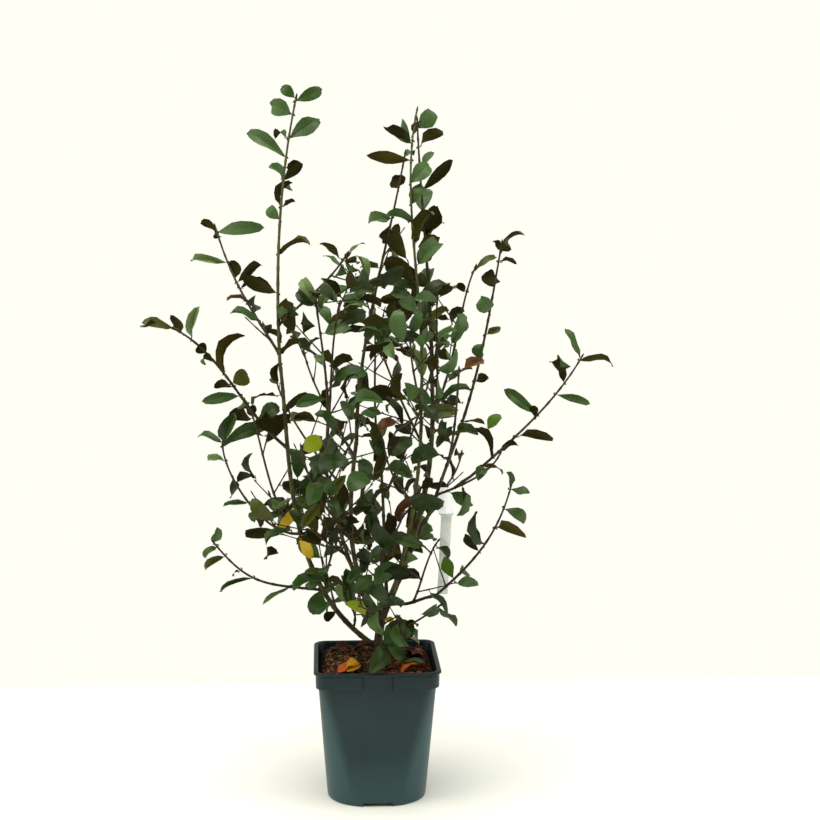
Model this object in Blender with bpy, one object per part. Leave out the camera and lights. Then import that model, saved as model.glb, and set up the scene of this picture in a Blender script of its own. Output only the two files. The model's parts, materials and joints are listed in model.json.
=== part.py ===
"""Potted magnolia: an evergreen shrub of many thin stems in a square nursery pot.

Metres, +Z up.  The origin is the middle of the pot's flat underside and the pot
stands square to the axes.  Lengths in the tables below are centimetres.
"""
import math
import random

import bmesh
import bpy
from mathutils import Vector
from mathutils.bvhtree import BVHTree

NAME = "potted_magnolia"
CM = 0.01
GAP = 0.0003                  # left between any two solids that meet

# pot: half widths and corner radii of the square, from the foot to the lip
POT_HEIGHT = 0.195
POT_WALL = 0.0016
POT_FLOOR = 0.0025
FOOT_HALF, FOOT_CORNER = 0.0695, 0.056
NECK_HALF, NECK_CORNER = 0.0825, 0.017
COLLAR_HALF, COLLAR_BOTTOM, COLLAR_TOP = 0.0848, 0.171, 0.190
LIP_HALF, LIP_CORNER, LIP_BOTTOM = 0.0875, 0.016, 0.190
PANEL_WIDTH = 0.040           # plain strip that breaks the collar on each side
NOTCH_WIDTH, NOTCH_HEIGHT, NOTCH_DEPTH = 0.040, 0.005, 0.012
CORNER_STEPS = 3

SOIL_TOP = 0.178
SOIL_RELIEF = 0.0025
SOIL_CELLS = 7

# leaves
LEAF_LENGTH = (3.9, 6.6)      # blade
LEAF_WIDTH = (0.38, 0.50)     # share of the length
LEAF_STALK = 0.6
LEAF_THICK = 0.16
LEAF_SUNK = 0.07             # how far a root passes the middle of its twig
NODE_SPACING = 2.8            # between leaves along a shoot
TWIG_SPACING = 2.1
STEP = 4.0                    # straight lengths of a shoot's tube
FLUSH = 6.0                   # length of shoot that one season made
TWIG_LENGTH = (3.5, 8.0)
TWIG_RADIUS = 0.13

# Limbs.  parent, share of the parent's length where it starts, first handle from
# the start, last handle from the tip, tip, radius at the start, radius at the tip
TRUNK_FOOT = (0.6, 1.0, 17.83)
LIMBS = {
    "trunk": (None, 0, (-0.8, 0, 6), (-2, 0, -5.1), (3.3, 1, 30.5), 0.62, 0.46),
    "left": ("trunk", 0.16, (-13.5, -0.5, 9), (1.5, 1.5, -14), (-13, -3, 61.5), 0.38, 0.24),
    "left_top": ("left", 1.0, (-0.5, -0.5, 12), (-2.5, 1, -11.5), (-10.5, -5, 96.5), 0.24, 0.12),
    "low_left": ("left", 0.26, (-8, -2.5, 1.5), (4.5, 4, -7), (-22, -7, 37.5), 0.20, 0.12),
    "mid_left": ("left", 0.46, (-5, 1, -1), (0, -2.5, -4), (-21.5, 7, 49), 0.20, 0.12),
    "out_left": ("left", 0.73, (-6.5, -0.5, 5), (8, 1.5, -2.5), (-29, -5, 67), 0.22, 0.12),
    "high_left": ("left_top", 0.03, (-4.5, 2, 7), (2.5, -4, -7.5), (-22, 6, 79.5), 0.20, 0.12),
    "in_left": ("left_top", 0.14, (3, -0.5, 3), (-2.5, 1, -4), (-4, -6, 76), 0.18, 0.12),
    "fork": ("trunk", 0.40, (-3.5, -1, 5.5), (0.5, 3, -6.5), (-7, -8, 49), 0.30, 0.22),
    "fork_left": ("fork", 1.0, (1, 0, 7.5), (1, 0.5, -7.5), (-8, -9, 69.5), 0.22, 0.12),
    "fork_right": ("fork_left", 0.04, (1, -1, 7), (-1.5, 2, -7), (-5, -13, 70), 0.18, 0.12),
    "centre": ("trunk", 0.55, (-6, 0.5, 5.5), (-1, -1.5, -7), (-2.5, 5, 49.5), 0.36, 0.28),
    "centre_top": ("centre", 1.0, (0, 0.5, 13.5), (-2.5, -1.5, -13.5), (4.5, 8, 89.5), 0.28, 0.12),
    "inner": ("trunk", 0.70, (-0.5, 2, 7), (0.5, -3.5, -6), (1, 10, 46), 0.28, 0.20),
    "inner_top": ("inner", 1.0, (-1.5, 0.5, 8), (1, -1.5, -8.5), (0, 13, 70.5), 0.20, 0.12),
    "tall": ("trunk", 0.80, (2.5, -3, 8.5), (0.5, 2.5, -10), (6, -5, 56.5), 0.30, 0.22),
    "tall_top": ("tall", 1.0, (1, 0, 12), (-2.5, -0.5, -11.5), (5.5, -4, 95), 0.22, 0.12),
    "main": ("trunk", 1.0, (4, 0.5, 10.5), (0.5, -1, -11), (8, 3, 59), 0.46, 0.28),
    "main_top": ("main", 1.0, (0, 0, 11.5), (0.5, -0.5, -12), (6, 4, 94), 0.28, 0.12),
    "slant": ("main", 0.60, (-3, 2.5, 5.5), (1.5, -3, -5.5), (0, 9, 65.5), 0.20, 0.12),
    "near_main": ("main", 0.75, (1.0, -3.5, 6.5), (0, 4, -6), (8, -8, 70.5), 0.20, 0.12),
    "behind_main": ("main", 0.82, (3.5, 2, 6.5), (-2.5, -2.5, -5), (14.5, 9, 73.5), 0.20, 0.12),
    "right": ("main", 0.08, (3, -1.5, 5), (-2, 2.5, -6), (10.5, -5, 50), 0.27, 0.21),
    "right_top": ("right", 1.0, (3.5, -0.5, 10), (-1.5, 1.5, -10), (16.5, -8, 77.5), 0.21, 0.12),
    "far_right": ("main", 0.17, (2, 0.8, 3.5), (-3.5, -0.5, -2), (13.5, 3, 44.5), 0.27, 0.21),
    "far_right_top": ("far_right", 1.0, (6, 1, 5), (-4, -1.5, -6.5), (29.5, 6, 61), 0.21, 0.12),
    "low_right": ("trunk", 0.75, (2.5, -1.5, -1), (-2, 2, -0.5), (8, -4, 29), 0.25, 0.20),
    "low_right_top": ("low_right", 1.0, (5.5, -1, 5), (-1.5, 2, -7), (18, -8, 45), 0.20, 0.12),
    "near_right": ("low_right", 0.5, (1, -3, 3), (-1.5, 3, -3), (8, -10, 38), 0.17, 0.12),
    "left_in": ("left", 0.30, (3, 1, 2), (-1, 0, -3), (-5.5, -1, 40), 0.18, 0.12),
    "left_out": ("left", 0.50, (-2, -2, 1), (1, 1, -3), (-14.5, -4.5, 43.5), 0.18, 0.12),
    "left_up": ("left_out", 0.35, (-2, 2, 2), (1, -1, -3), (-17, 4, 53), 0.18, 0.12),
    "base_centre": ("trunk", 0.62, (-0.5, -3, 2), (0, 1, -4), (0.5, -6, 36.5), 0.17, 0.12),
    "base_right": ("trunk", 0.34, (3, -3, 0.5), (-2, 2, -2), (8.4, -8.5, 28.8), 0.17, 0.12),
    "base_left": ("left", 0.10, (1, -3, 3), (0, 2, -3), (-4, -9, 31), 0.17, 0.12),
    "base_back": ("trunk", 0.46, (-1, 3.5, 2), (1, -2, -3), (-5, 10, 34), 0.17, 0.12),
    "left_low": ("left", 0.17, (-1, -3, 2), (1, 3, -3), (-7, -9.5, 34), 0.17, 0.12),
    "fork_low": ("fork", 0.45, (-3, -2, 2.5), (1.5, 2, -4), (-11, -9, 43), 0.18, 0.12),
    "fork_mid": ("fork", 0.85, (1, -2.5, 3), (-1, 3, -4), (-2.5, -16, 55), 0.17, 0.12),
    "front_low": ("trunk", 0.28, (0.5, -4, 1.5), (0, 3, -3), (-2.5, -11, 31), 0.18, 0.12),
    "centre_low": ("centre", 0.45, (-2, 3, 3), (1, -2, -4), (-9, 13, 43), 0.18, 0.12),
    "centre_mid": ("centre", 0.90, (-2.5, 2, 4), (1, -2, -5), (-10, 11, 62), 0.18, 0.12),
    "inner_low": ("inner", 0.35, (1.5, 3.5, 2), (0, -3, -4), (5, 17, 40), 0.18, 0.12),
    "tall_low": ("tall", 0.50, (-2, -3, 3), (1, 2, -4), (1, -11, 50), 0.18, 0.12),
    "tall_mid": ("tall", 0.85, (0.5, -3, 3), (0, 2, -5), (4, -16, 66), 0.18, 0.12),
    "main_low": ("main", 0.30, (2, 3, 2), (-1, -2, -4), (13, 13, 46), 0.18, 0.12),
    "right_low": ("right", 0.60, (3, -2, 1.5), (-1, 2, -3), (16, -12, 50), 0.18, 0.12),
    "back_left": ("centre", 0.68, (-3, 4, 3), (2, -3, -6), (-14, 19, 56), 0.20, 0.12),
    "back_right": ("inner", 0.72, (3, 3, 4), (-1, -3, -6), (10, 21, 62), 0.20, 0.12),
    "front_left": ("fork", 0.64, (-2, -4, 3), (1, 3, -6), (-10, -18, 52), 0.20, 0.12),
    "front_right": ("right", 0.85, (0.5, -4, 3), (0, 3, -6), (10, -19, 62), 0.20, 0.12),
}
TRUNK_SIDES, BOUGH_SIDES, BOUGH_STEPS = 10, 5, 6
BOUGHS = ("left", "fork", "centre", "inner", "tall", "main", "right", "far_right", "low_right")

# paper plant label looped round a bough: loop, plate front, head and strip
LABEL_BOUGH, LABEL_FROM, LABEL_TO = "far_right", 0.60, 0.68
LOOP_INNER, LOOP_OUTER = 0.44, 0.50
LABEL_FRONT, LABEL_THICK = 1.92, 0.07
LABEL_HEAD = (8.9, 11.2, 39.3, 43.2)      # left, right, bottom, top
LABEL_STRIP_WIDTH, LABEL_STRIP_END = 1.5, (9.5, 27.8)

# Leaf masses: the shoots each is made of, the chance that a bud makes a twig rather
# than a leaf, and the seed of every flush of growth along each shoot
MASSES = {
    "left_top": (("left_top", 0.12, (115, 295, 344, 299, 253, 286)),
                 ("high_left", 0.12, (256, 226, 101, 53)), ("in_left", 0.1, (97, 203))),
    "out_left": (("out_left", 0.15, (77, 336, 303, 102)),),
    "low_left": (("low_left", 0.3, (256, 257, 137)),),
    "mid_left": (("mid_left", 0.25, (154, 17, 59)),),
    "far_right": (("far_right_top", 0.15, (304, 67, 112, 127)),),
    "right_top": (("right_top", 0.2, (163, 299, 82, 81, 296)),),
    "tall_top": (("tall_top", 0.15, (200, 1, 114, 219, 308, 244)),),
    "main_top": (("main_top", 0.15, (276, 148, 255, 319, 162, 138)),),
    "centre_top": (("centre_top", 0.3, (256, 154, 179, 109, 1, 2, 252)),),
    "low_right": (("low_right_top", 0.15, (312, 333, 42)),),
    "fork_crown": (("fork_left", 0.3, (323, 139, 146)), ("fork_right", 0.3, (70, 347, 135))),
    "behind_main": (("behind_main", 0.3, (255, 285, 116, 54)),),
    "near_main": (("near_main", 0.35, (79, 110, 214, 333)),),
    "slant": (("slant", 0.4, (109, 298, 202, 203)),),
    "inner_top": (("inner_top", 0.4, (47, 197, 4, 214)),),
    "near_right": (("near_right", 0.4, (220, 220)),),
    "left_in": (("left_in", 0.5, (148, 156)),),
    "left_out": (("left_out", 0.4, (303,)), ("left_up", 0.4, (256, 268, 108))),
    "base_right": (("base_right", 0.4, (68, 321)),),
    "base_centre": (("base_centre", 0.5, (256, 305)),),
    "base_left": (("base_left", 0.4, (145, 154)),),
    "left_low": (("left_low", 0.4, (203, 172)),),
    "front_low": (("front_low", 0.4, (17, 154, 76)),),
    "fork_low": (("fork_low", 0.5, (33, 61)),),
    "fork_mid": (("fork_mid", 0.5, (2, 109)),),
    "tall_low": (("tall_low", 0.5, (251, 157)),),
    "tall_mid": (("tall_mid", 0.45, (40, 74, 28)),),
    "right_low": (("right_low", 0.45, (325, 42)),),
    "front_left": (("front_left", 0.45, (23, 347, 322)),),
    "front_right": (("front_right", 0.4, (299, 348, 71, 111)),),
    "centre_low": (("centre_low", 0.5, (256, 58)),),
    "centre_mid": (("centre_mid", 0.5, (45, 270, 250)),),
    "inner_low": (("inner_low", 0.5, (28, 260, 42)),),
    "main_low": (("main_low", 0.5, (33, 296, 208)),),
    "base_back": (("base_back", 0.5, (66, 89)),),
    "back_left": (("back_left", 0.45, (72, 315, 114, 247)),),
    "back_right": (("back_right", 0.45, (66, 79, 210, 164)),),
}


# ---------------------------------------------------------------- limbs as curves
def limb_handles(name):
    """The four control points of a limb's centre line, in centimetres."""
    parent, share, leave, arrive, tip, _, _ = LIMBS[name]
    start = Vector(TRUNK_FOOT) if parent is None else limb_point(parent, share)
    tip = Vector(tip)
    return start, start + Vector(leave), tip + Vector(arrive), tip


HANDLES = {}


def handles(name):
    if name not in HANDLES:
        HANDLES[name] = limb_handles(name)
    return HANDLES[name]


def limb_point(name, t):
    a, b, c, d = handles(name)
    u = 1.0 - t
    return a * u ** 3 + b * (3 * u * u * t) + c * (3 * u * t * t) + d * t ** 3


def tube_steps(name):
    """How many straight lengths a shoot's tube is made of."""
    return max(3, round(limb_length(name) / STEP))


def tube_point(name, t):
    """The point at a share, on the straight length of tube that it falls in."""
    steps = tube_steps(name)
    start = limb_start(name)
    place = max(0.0, (t - start) / (1.0 - start)) * steps
    k = min(int(place), steps - 1)
    a = limb_point(name, start + (1.0 - start) * k / steps)
    b = limb_point(name, start + (1.0 - start) * (k + 1) / steps)
    return a + (b - a) * (place - k)


def limb_direction(name, t):
    a, b, c, d = handles(name)
    u = 1.0 - t
    return ((b - a) * (u * u) + (c - b) * (2 * u * t) + (d - c) * (t * t)).normalized()


def limb_radius(name, t):
    first, last = LIMBS[name][5:7]
    return first + (last - first) * t


LENGTHS = {}


def limb_length(name, steps=24):
    if name not in LENGTHS:
        points = [limb_point(name, k / steps) for k in range(steps + 1)]
        LENGTHS[name] = sum((q - p).length for p, q in zip(points, points[1:]))
    return LENGTHS[name]


def crossways(direction):
    """Two unit vectors square to a direction that never runs along Y."""
    side = direction.cross(Vector((0, 1, 0))).normalized()
    return side, side.cross(direction)


# ------------------------------------------------------------------ growth rule
def leaf_size(dice, vigour):
    length = dice.uniform(*LEAF_LENGTH) * vigour
    return length, length * dice.uniform(*LEAF_WIDTH)


def grow_leaf(dice, root, along, turn, vigour, opening=(35, 80)):
    """One leaf: root, stalk end, the way it points, the way its face looks, size."""
    side, other = crossways(along)
    out = side * math.cos(turn) + other * math.sin(turn)
    open_angle = math.radians(dice.uniform(*opening))
    points = along * math.cos(open_angle) + out * math.sin(open_angle)
    points = (points + Vector((0, 0, -dice.uniform(0.0, 0.55)))).normalized()
    face = along - points * along.dot(points)
    face = (face.normalized() + Vector((0, 0, 0.6))).normalized()
    face = (face - points * face.dot(points)).normalized()
    roll = math.radians(dice.uniform(-65, 65))
    across = points.cross(face)
    face = face * math.cos(roll) + across * math.sin(roll)
    length, width = leaf_size(dice, vigour)
    return {"root": root, "points": points, "face": face, "length": length, "width": width}


def grow_twig(dice, root, along, turn):
    """A short side twig that swings up, with leaves along it and one at its tip."""
    side, other = crossways(along)
    out = side * math.cos(turn) + other * math.sin(turn)
    angle = math.radians(dice.uniform(40, 65))
    way = along * math.cos(angle) + out * math.sin(angle)
    way = (way + Vector((0, 0, dice.uniform(0.0, 0.4)))).normalized()
    if abs(way.y) > 0.93:
        way = (way + Vector((0.4, 0, 0.4))).normalized()
    length = dice.uniform(*TWIG_LENGTH)
    end = root + way * length
    leaves = []
    spin = dice.uniform(0, math.tau)
    done = TWIG_SPACING * dice.uniform(0.7, 1.0)
    while done < length - 0.8:
        spin += math.radians(137.5 + dice.uniform(-35, 35))
        leaves.append(grow_leaf(dice, root + way * done, way, spin, 0.9))
        done += TWIG_SPACING * dice.uniform(0.8, 1.2)
    leaves.append(grow_leaf(dice, end - way * 0.12, way, spin + 2.4, 0.95, (5, 50)))
    return {"path": (root, end), "leaves": leaves}


def grow_flush(seed, shoot, first, last, twigginess, at_tip):
    """Everything that one season's growth carries between two shares of a shoot."""
    dice = random.Random(seed)
    length = limb_length(shoot)
    share = first + dice.uniform(0.1, 0.6) * NODE_SPACING / length
    turn = dice.uniform(0, math.tau)
    leaves, twigs = [], []
    while share < last - 0.2 * NODE_SPACING / length:
        root = tube_point(shoot, share)
        along = limb_direction(shoot, share)
        turn += math.radians(137.5 + dice.uniform(-40, 40))
        if dice.random() < twigginess:
            twigs.append(grow_twig(dice, root, along, turn))
        else:
            leaves.append(grow_leaf(dice, root, along, turn, 1.0))
        share += NODE_SPACING * dice.uniform(0.75, 1.15) / length
    if at_tip:
        along = limb_direction(shoot, 1.0)
        root = tube_point(shoot, 1.0 - 0.15 / length)
        leaves.append(grow_leaf(dice, root, along, turn + 2.4, 0.8, (15, 65)))
        root = tube_point(shoot, 1.0 - 0.9 / length)
        leaves.append(grow_leaf(dice, root, along, turn + 4.6, 0.75, (25, 60)))
    return leaves, twigs


def flush_shares(shoot):
    """The shares where each flush of a shoot begins and ends."""
    count = max(1, round(limb_length(shoot) / FLUSH))
    return [(k / count, (k + 1) / count) for k in range(count)]


# ------------------------------------------------------------------ meshes
def leaf_mesh(leaf, spare=0.0):
    """A six-faced blade: a root sunk in the twig, two sides, a tip and a ridge."""
    points, face = leaf["points"], leaf["face"]
    across = points.cross(face)
    root = leaf["root"]
    half = leaf["width"] * 0.60 + spare
    under = root - face * spare
    widest = under + points * (LEAF_STALK + leaf["length"] * 0.48)
    ridge = root + points * (LEAF_STALK + leaf["length"] * 0.25)
    corners = [under - points * LEAF_SUNK,
               widest - across * half, widest + across * half,
               ridge + face * (LEAF_THICK + spare),
               under + points * (LEAF_STALK + leaf["length"] + spare)]
    faces = [(0, 3, 1), (0, 2, 3), (4, 1, 3), (4, 3, 2), (0, 1, 2), (4, 2, 1)]
    return corners, faces


def tube_mesh(path, radii, sides, spare=0.0, ends=(None, None)):
    """A closed tube of flat sides along a path, square to it or to its given ends."""
    corners, faces = [], []
    for k, spot in enumerate(path):
        before = path[max(k - 1, 0)]
        after = path[min(k + 1, len(path) - 1)]
        way = (after - before).normalized()
        if k == 0:
            way = ends[0] or way
        if k == len(path) - 1:
            way = ends[1] or way
        side, other = crossways(way)
        for s in range(sides):
            turn = math.tau * s / sides
            corners.append(spot + (side * math.cos(turn) + other * math.sin(turn))
                           * (radii[k] + spare))
    for k in range(len(path) - 1):
        for s in range(sides):
            a = k * sides + s
            b = k * sides + (s + 1) % sides
            faces.append((a, b, b + sides, a + sides))
    faces.append(tuple(range(sides - 1, -1, -1)))
    faces.append(tuple(range((len(path) - 1) * sides, len(path) * sides)))
    return corners, faces


def limb_mesh(name, first, last, steps, sides, spare=0.0):
    shares = [first + (last - first) * k / steps for k in range(steps + 1)]
    path = [limb_point(name, t) for t in shares]
    radii = [limb_radius(name, t) for t in shares]
    parent, share = LIMBS[name][:2]
    start_way = limb_direction(parent, 1.0) if parent and share >= 1.0 else None
    return tube_mesh(path, radii, sides, spare, (start_way, limb_direction(name, last)))


def trunk_mesh(spare=0.0):
    """The trunk: cut flat on the soil, flared at the foot, tapering to the fork."""
    sides, steps = TRUNK_SIDES, 6
    path = [limb_point("trunk", k / steps) for k in range(steps + 1)]
    flare = [0.42 * math.exp(-6.0 * k / steps) for k in range(steps + 1)]
    radii = [limb_radius("trunk", k / steps) + flare[k] for k in range(steps + 1)]
    corners, faces = tube_mesh(path, radii, sides, spare)
    for corner in corners[:sides]:
        corner.z = TRUNK_FOOT[2] - (0.5 if spare else 0.0)
    return corners, faces


def twig_mesh(twig, spare=0.0):
    return tube_mesh(twig["path"], (TWIG_RADIUS, TWIG_RADIUS * 0.8), 3, spare)


def label_loop(radius):
    """A short tube that hangs on the bough, as wide as the label's loop."""
    drop = Vector((0, 0, LOOP_INNER - limb_radius(LABEL_BOUGH, LABEL_FROM) - GAP / CM * 1.5))
    spots = [limb_point(LABEL_BOUGH, t) - drop for t in (LABEL_FROM, LABEL_TO)]
    return tube_mesh(spots, (radius, radius), 8)


def label_plate():
    """The label's head and the strip that hangs from it."""
    left, right, low, high = LABEL_HEAD
    middle, end = LABEL_STRIP_END
    half = LABEL_STRIP_WIDTH / 2
    top = (left + right) / 2
    outline = [(left, high - 0.3), (left + 0.1, low), (top - half, low), (middle - half, end),
               (middle + half, end), (top + half, low), (right, low + 0.3), (right - 0.1, high)]
    corners = [Vector((x, y, z)) for y in (LABEL_FRONT, LABEL_FRONT + LABEL_THICK)
               for x, z in outline]
    count = len(outline)
    faces = [(k, (k + 1) % count, count + (k + 1) % count, count + k) for k in range(count)]
    faces += [(7, 6, 5, 2, 1, 0), (5, 4, 3, 2)]
    faces += [tuple(count + k for k in (0, 1, 2, 5, 6, 7)), tuple(count + k for k in (2, 3, 4, 5))]
    return corners, faces


# -------------------------------------------------------------- room for growth
class Space:
    """Remembers every piece already placed, so that the next keeps clear of it."""

    def __init__(self):
        self.items = []

    def add(self, owner, mesh):
        corners, faces = mesh
        low = [min(c[k] for c in corners) for k in range(3)]
        high = [max(c[k] for c in corners) for k in range(3)]
        self.items.append((owner, low, high, BVHTree.FromPolygons(corners, faces)))

    def meets(self, mesh, owners=None, but=()):
        """Whether a mesh touches anything placed, of some owners or of all but some."""
        corners, faces = mesh
        low = [min(c[k] for c in corners) for k in range(3)]
        high = [max(c[k] for c in corners) for k in range(3)]
        tree = None
        for owner, least, most, other in self.items:
            if owner in but or (owners is not None and owner not in owners):
                continue
            if any(low[k] > most[k] or high[k] < least[k] for k in range(3)):
                continue
            if tree is None:
                tree = BVHTree.FromPolygons(corners, faces)
            if tree.overlap(other):
                return True
        return False


# ------------------------------------------------------------- laying out the plant
def mass_of(shoot):
    for name, shoots in MASSES.items():
        if any(row[0] == shoot for row in shoots):
            return name
    return shoot


def leaves_parent_at(name):
    """The share at which a limb's centre line comes out of the limb that bears it."""
    parent = LIMBS[name][0]
    if parent is None or LIMBS[name][1] >= 1.0:
        return 0.0
    spots = [(limb_point(parent, k / 60), limb_radius(parent, k / 60)) for k in range(61)]
    for k in range(60):
        t = k / 150
        point = limb_point(name, t)
        near = min((point - spot).length - radius * 0.8 for spot, radius in spots)
        if near > 0.0:
            return t
    return 0.2


STARTS = {}


def limb_start(name):
    """The share at which a limb's own solid starts."""
    if name not in STARTS:
        parent, share = LIMBS[name][:2]
        if parent is None or (mass_of(parent) == mass_of(name) and parent not in BOUGHS):
            STARTS[name] = 0.0
        elif share >= 1.0:
            STARTS[name] = 1.1 * GAP / CM / limb_length(name)
        else:
            STARTS[name] = max(0.0, leaves_parent_at(name) - 0.005)
    return STARTS[name]


def stands_clear_at(name):
    """The share from which a shoot has room for leaves beside the limb that bears it."""
    parent = LIMBS[name][0]
    if LIMBS[name][1] >= 1.0:
        return 0.04
    spots = [(limb_point(parent, k / 60), limb_radius(parent, k / 60)) for k in range(61)]
    for k in range(80):
        t = k / 160
        point = limb_point(name, t)
        room = min((point - spot).length - radius for spot, radius in spots)
        if room > limb_radius(name, t) + 0.25:
            return t
    return 0.5


def solid_limb(name, spare=0.0):
    """The tube that a limb's solid is made from."""
    if name == "trunk":
        return trunk_mesh(spare)
    if name in BOUGHS:
        return limb_mesh(name, limb_start(name), 1.0, BOUGH_STEPS, BOUGH_SIDES, spare)
    return limb_mesh(name, limb_start(name), 1.0, tube_steps(name), 3, spare)


def place_limbs(space):
    for name in LIMBS:
        space.add(name, solid_limb(name))
    space.add("label", label_plate())
    space.add("label", label_loop(LOOP_OUTER))


def place_flush(space, shoot, flush, seed, twigginess):
    """Keeps what one flush grew as far as there is room; returns twigs and leaves."""
    shares = flush_shares(shoot)
    first, last = shares[flush]
    first = max(first, stands_clear_at(shoot))
    leaves, twigs = grow_flush(seed, shoot, first, last, twigginess, flush == len(shares) - 1)
    spare = GAP / CM * 1.3
    kept_leaves, kept_twigs = [], []
    for leaf in leaves:
        if not space.meets(leaf_mesh(leaf, spare), but=(shoot,)):
            space.add("leaf", leaf_mesh(leaf))
            kept_leaves.append(leaf)
    for twig in twigs:
        if space.meets(twig_mesh(twig, spare), but=(shoot,)):
            continue
        free = [leaf for leaf in twig["leaves"] if not space.meets(leaf_mesh(leaf, spare))]
        if not free:
            continue
        space.add("twig", twig_mesh(twig))
        chosen = []
        for leaf in free:
            if not space.meets(leaf_mesh(leaf, spare), owners=("leaf",)):
                space.add("leaf", leaf_mesh(leaf))
                chosen.append(leaf)
        kept_twigs.append({"path": twig["path"], "leaves": chosen})
    return kept_leaves, kept_twigs


def lay_out():
    """Every twig and leaf of the plant, mass by mass."""
    space = Space()
    place_limbs(space)
    plan = {}
    for mass, shoots in MASSES.items():
        plan[mass] = {"leaves": [], "twigs": []}
        for shoot, twigginess, seeds in shoots:
            for flush in range(len(flush_shares(shoot))):
                seed = seeds[flush] if flush < len(seeds) else flush + 1
                leaves, twigs = place_flush(space, shoot, flush, seed, twigginess)
                plan[mass]["leaves"] += leaves
                plan[mass]["twigs"] += twigs
    return plan


# ------------------------------------------------------------- building the solids
def new_collection(name, shown=True):
    group = bpy.data.collections.new(name)
    bpy.context.scene.collection.children.link(group)
    group.hide_render = not shown
    return group


def make_material(name, colour, roughness):
    material = bpy.data.materials.new(name)
    material.use_nodes = True
    shader = material.node_tree.nodes["Principled BSDF"]
    shader.inputs["Base Color"].default_value = (*colour, 1.0)
    shader.inputs["Roughness"].default_value = roughness
    return material


def make_object(name, mesh_data, group, scale=CM):
    """A closed mesh object; every face is turned outward."""
    corners, faces = mesh_data
    mesh = bpy.data.meshes.new(name)
    mesh.from_pydata([tuple(c * scale) for c in corners], [], faces)
    work = bmesh.new()
    work.from_mesh(mesh)
    bmesh.ops.recalc_face_normals(work, faces=work.faces)
    work.to_mesh(mesh)
    work.free()
    obj = bpy.data.objects.new(name, mesh)
    group.objects.link(obj)
    return obj


def apply_modifiers(obj):
    graph = bpy.context.evaluated_depsgraph_get()
    mesh = bpy.data.meshes.new_from_object(obj.evaluated_get(graph))
    obj.modifiers.clear()
    old = obj.data
    obj.data = mesh
    mesh.name = obj.name
    bpy.data.meshes.remove(old)


def cut_away(obj, cutter):
    step = obj.modifiers.new("cut", "BOOLEAN")
    step.operation = "DIFFERENCE"
    step.solver = "EXACT"
    step.object = cutter
    apply_modifiers(obj)
    bpy.data.objects.remove(cutter)


def join_all(obj, group, solver="EXACT"):
    """Fuses every solid of a collection on to one object."""
    step = obj.modifiers.new("join", "BOOLEAN")
    step.operation = "UNION"
    step.solver = solver
    step.operand_type = "COLLECTION"
    step.collection = group
    apply_modifiers(obj)


def keep_largest(obj):
    """Drops loose scrap, so that the node is one body."""
    work = bmesh.new()
    work.from_mesh(obj.data)
    work.verts.ensure_lookup_table()
    seen, pieces = set(), []
    for vert in work.verts:
        if vert.index in seen:
            continue
        piece, front = [], [vert]
        seen.add(vert.index)
        while front:
            spot = front.pop()
            piece.append(spot)
            for edge in spot.link_edges:
                other = edge.other_vert(spot)
                if other.index not in seen:
                    seen.add(other.index)
                    front.append(other)
        pieces.append(piece)
    pieces.sort(key=len)
    for piece in pieces[:-1]:
        bmesh.ops.delete(work, geom=piece, context="VERTS")
    bmesh.ops.triangulate(work, faces=work.faces)
    work.to_mesh(obj.data)
    work.free()
    return len(pieces)


# pot and soil
def square_ring(half, corner, z, lift=None):
    """Points round a square with rounded corners."""
    ring = []
    for quarter in range(4):
        start = quarter * math.pi / 2
        cx = (half - corner) * (1 if quarter in (0, 3) else -1)
        cy = (half - corner) * (1 if quarter in (0, 1) else -1)
        for k in range(CORNER_STEPS + 1):
            turn = start + math.pi / 2 * k / CORNER_STEPS
            x = cx + corner * math.cos(turn)
            y = cy + corner * math.sin(turn)
            ring.append(Vector((x, y, z + (lift(x, y) if lift else 0.0))))
    return ring


def loft(rings):
    """A closed skin over rings of equal count, with a flat face at either end."""
    count = len(rings[0])
    corners = [spot for ring in rings for spot in ring]
    faces = []
    for r in range(len(rings) - 1):
        for k in range(count):
            a = r * count + k
            b = r * count + (k + 1) % count
            faces.append((a, b, b + count, a + count))
    faces.append(tuple(range(count - 1, -1, -1)))
    faces.append(tuple(range((len(rings) - 1) * count, len(rings) * count)))
    return corners, faces


def block(x0, x1, y0, y1, z0, z1):
    corners = [Vector((x, y, z)) for z in (z0, z1) for x, y in
               ((x0, y0), (x1, y0), (x1, y1), (x0, y1))]
    faces = [(3, 2, 1, 0), (4, 5, 6, 7), (0, 1, 5, 4), (1, 2, 6, 5), (2, 3, 7, 6), (3, 0, 4, 7)]
    return corners, faces


def inner_half(z):
    """Half width of the pot's inside at a height."""
    share = (z - 0.004) / (LIP_BOTTOM - 0.004)
    return FOOT_HALF + (NECK_HALF - FOOT_HALF) * share - POT_WALL


def inner_corner(z):
    """Corner radius of the pot's inside at a height; the corners tighten upwards."""
    share = (z - 0.004) / (LIP_BOTTOM - 0.004)
    return FOOT_CORNER + (NECK_CORNER - FOOT_CORNER) * share - POT_WALL


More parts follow.
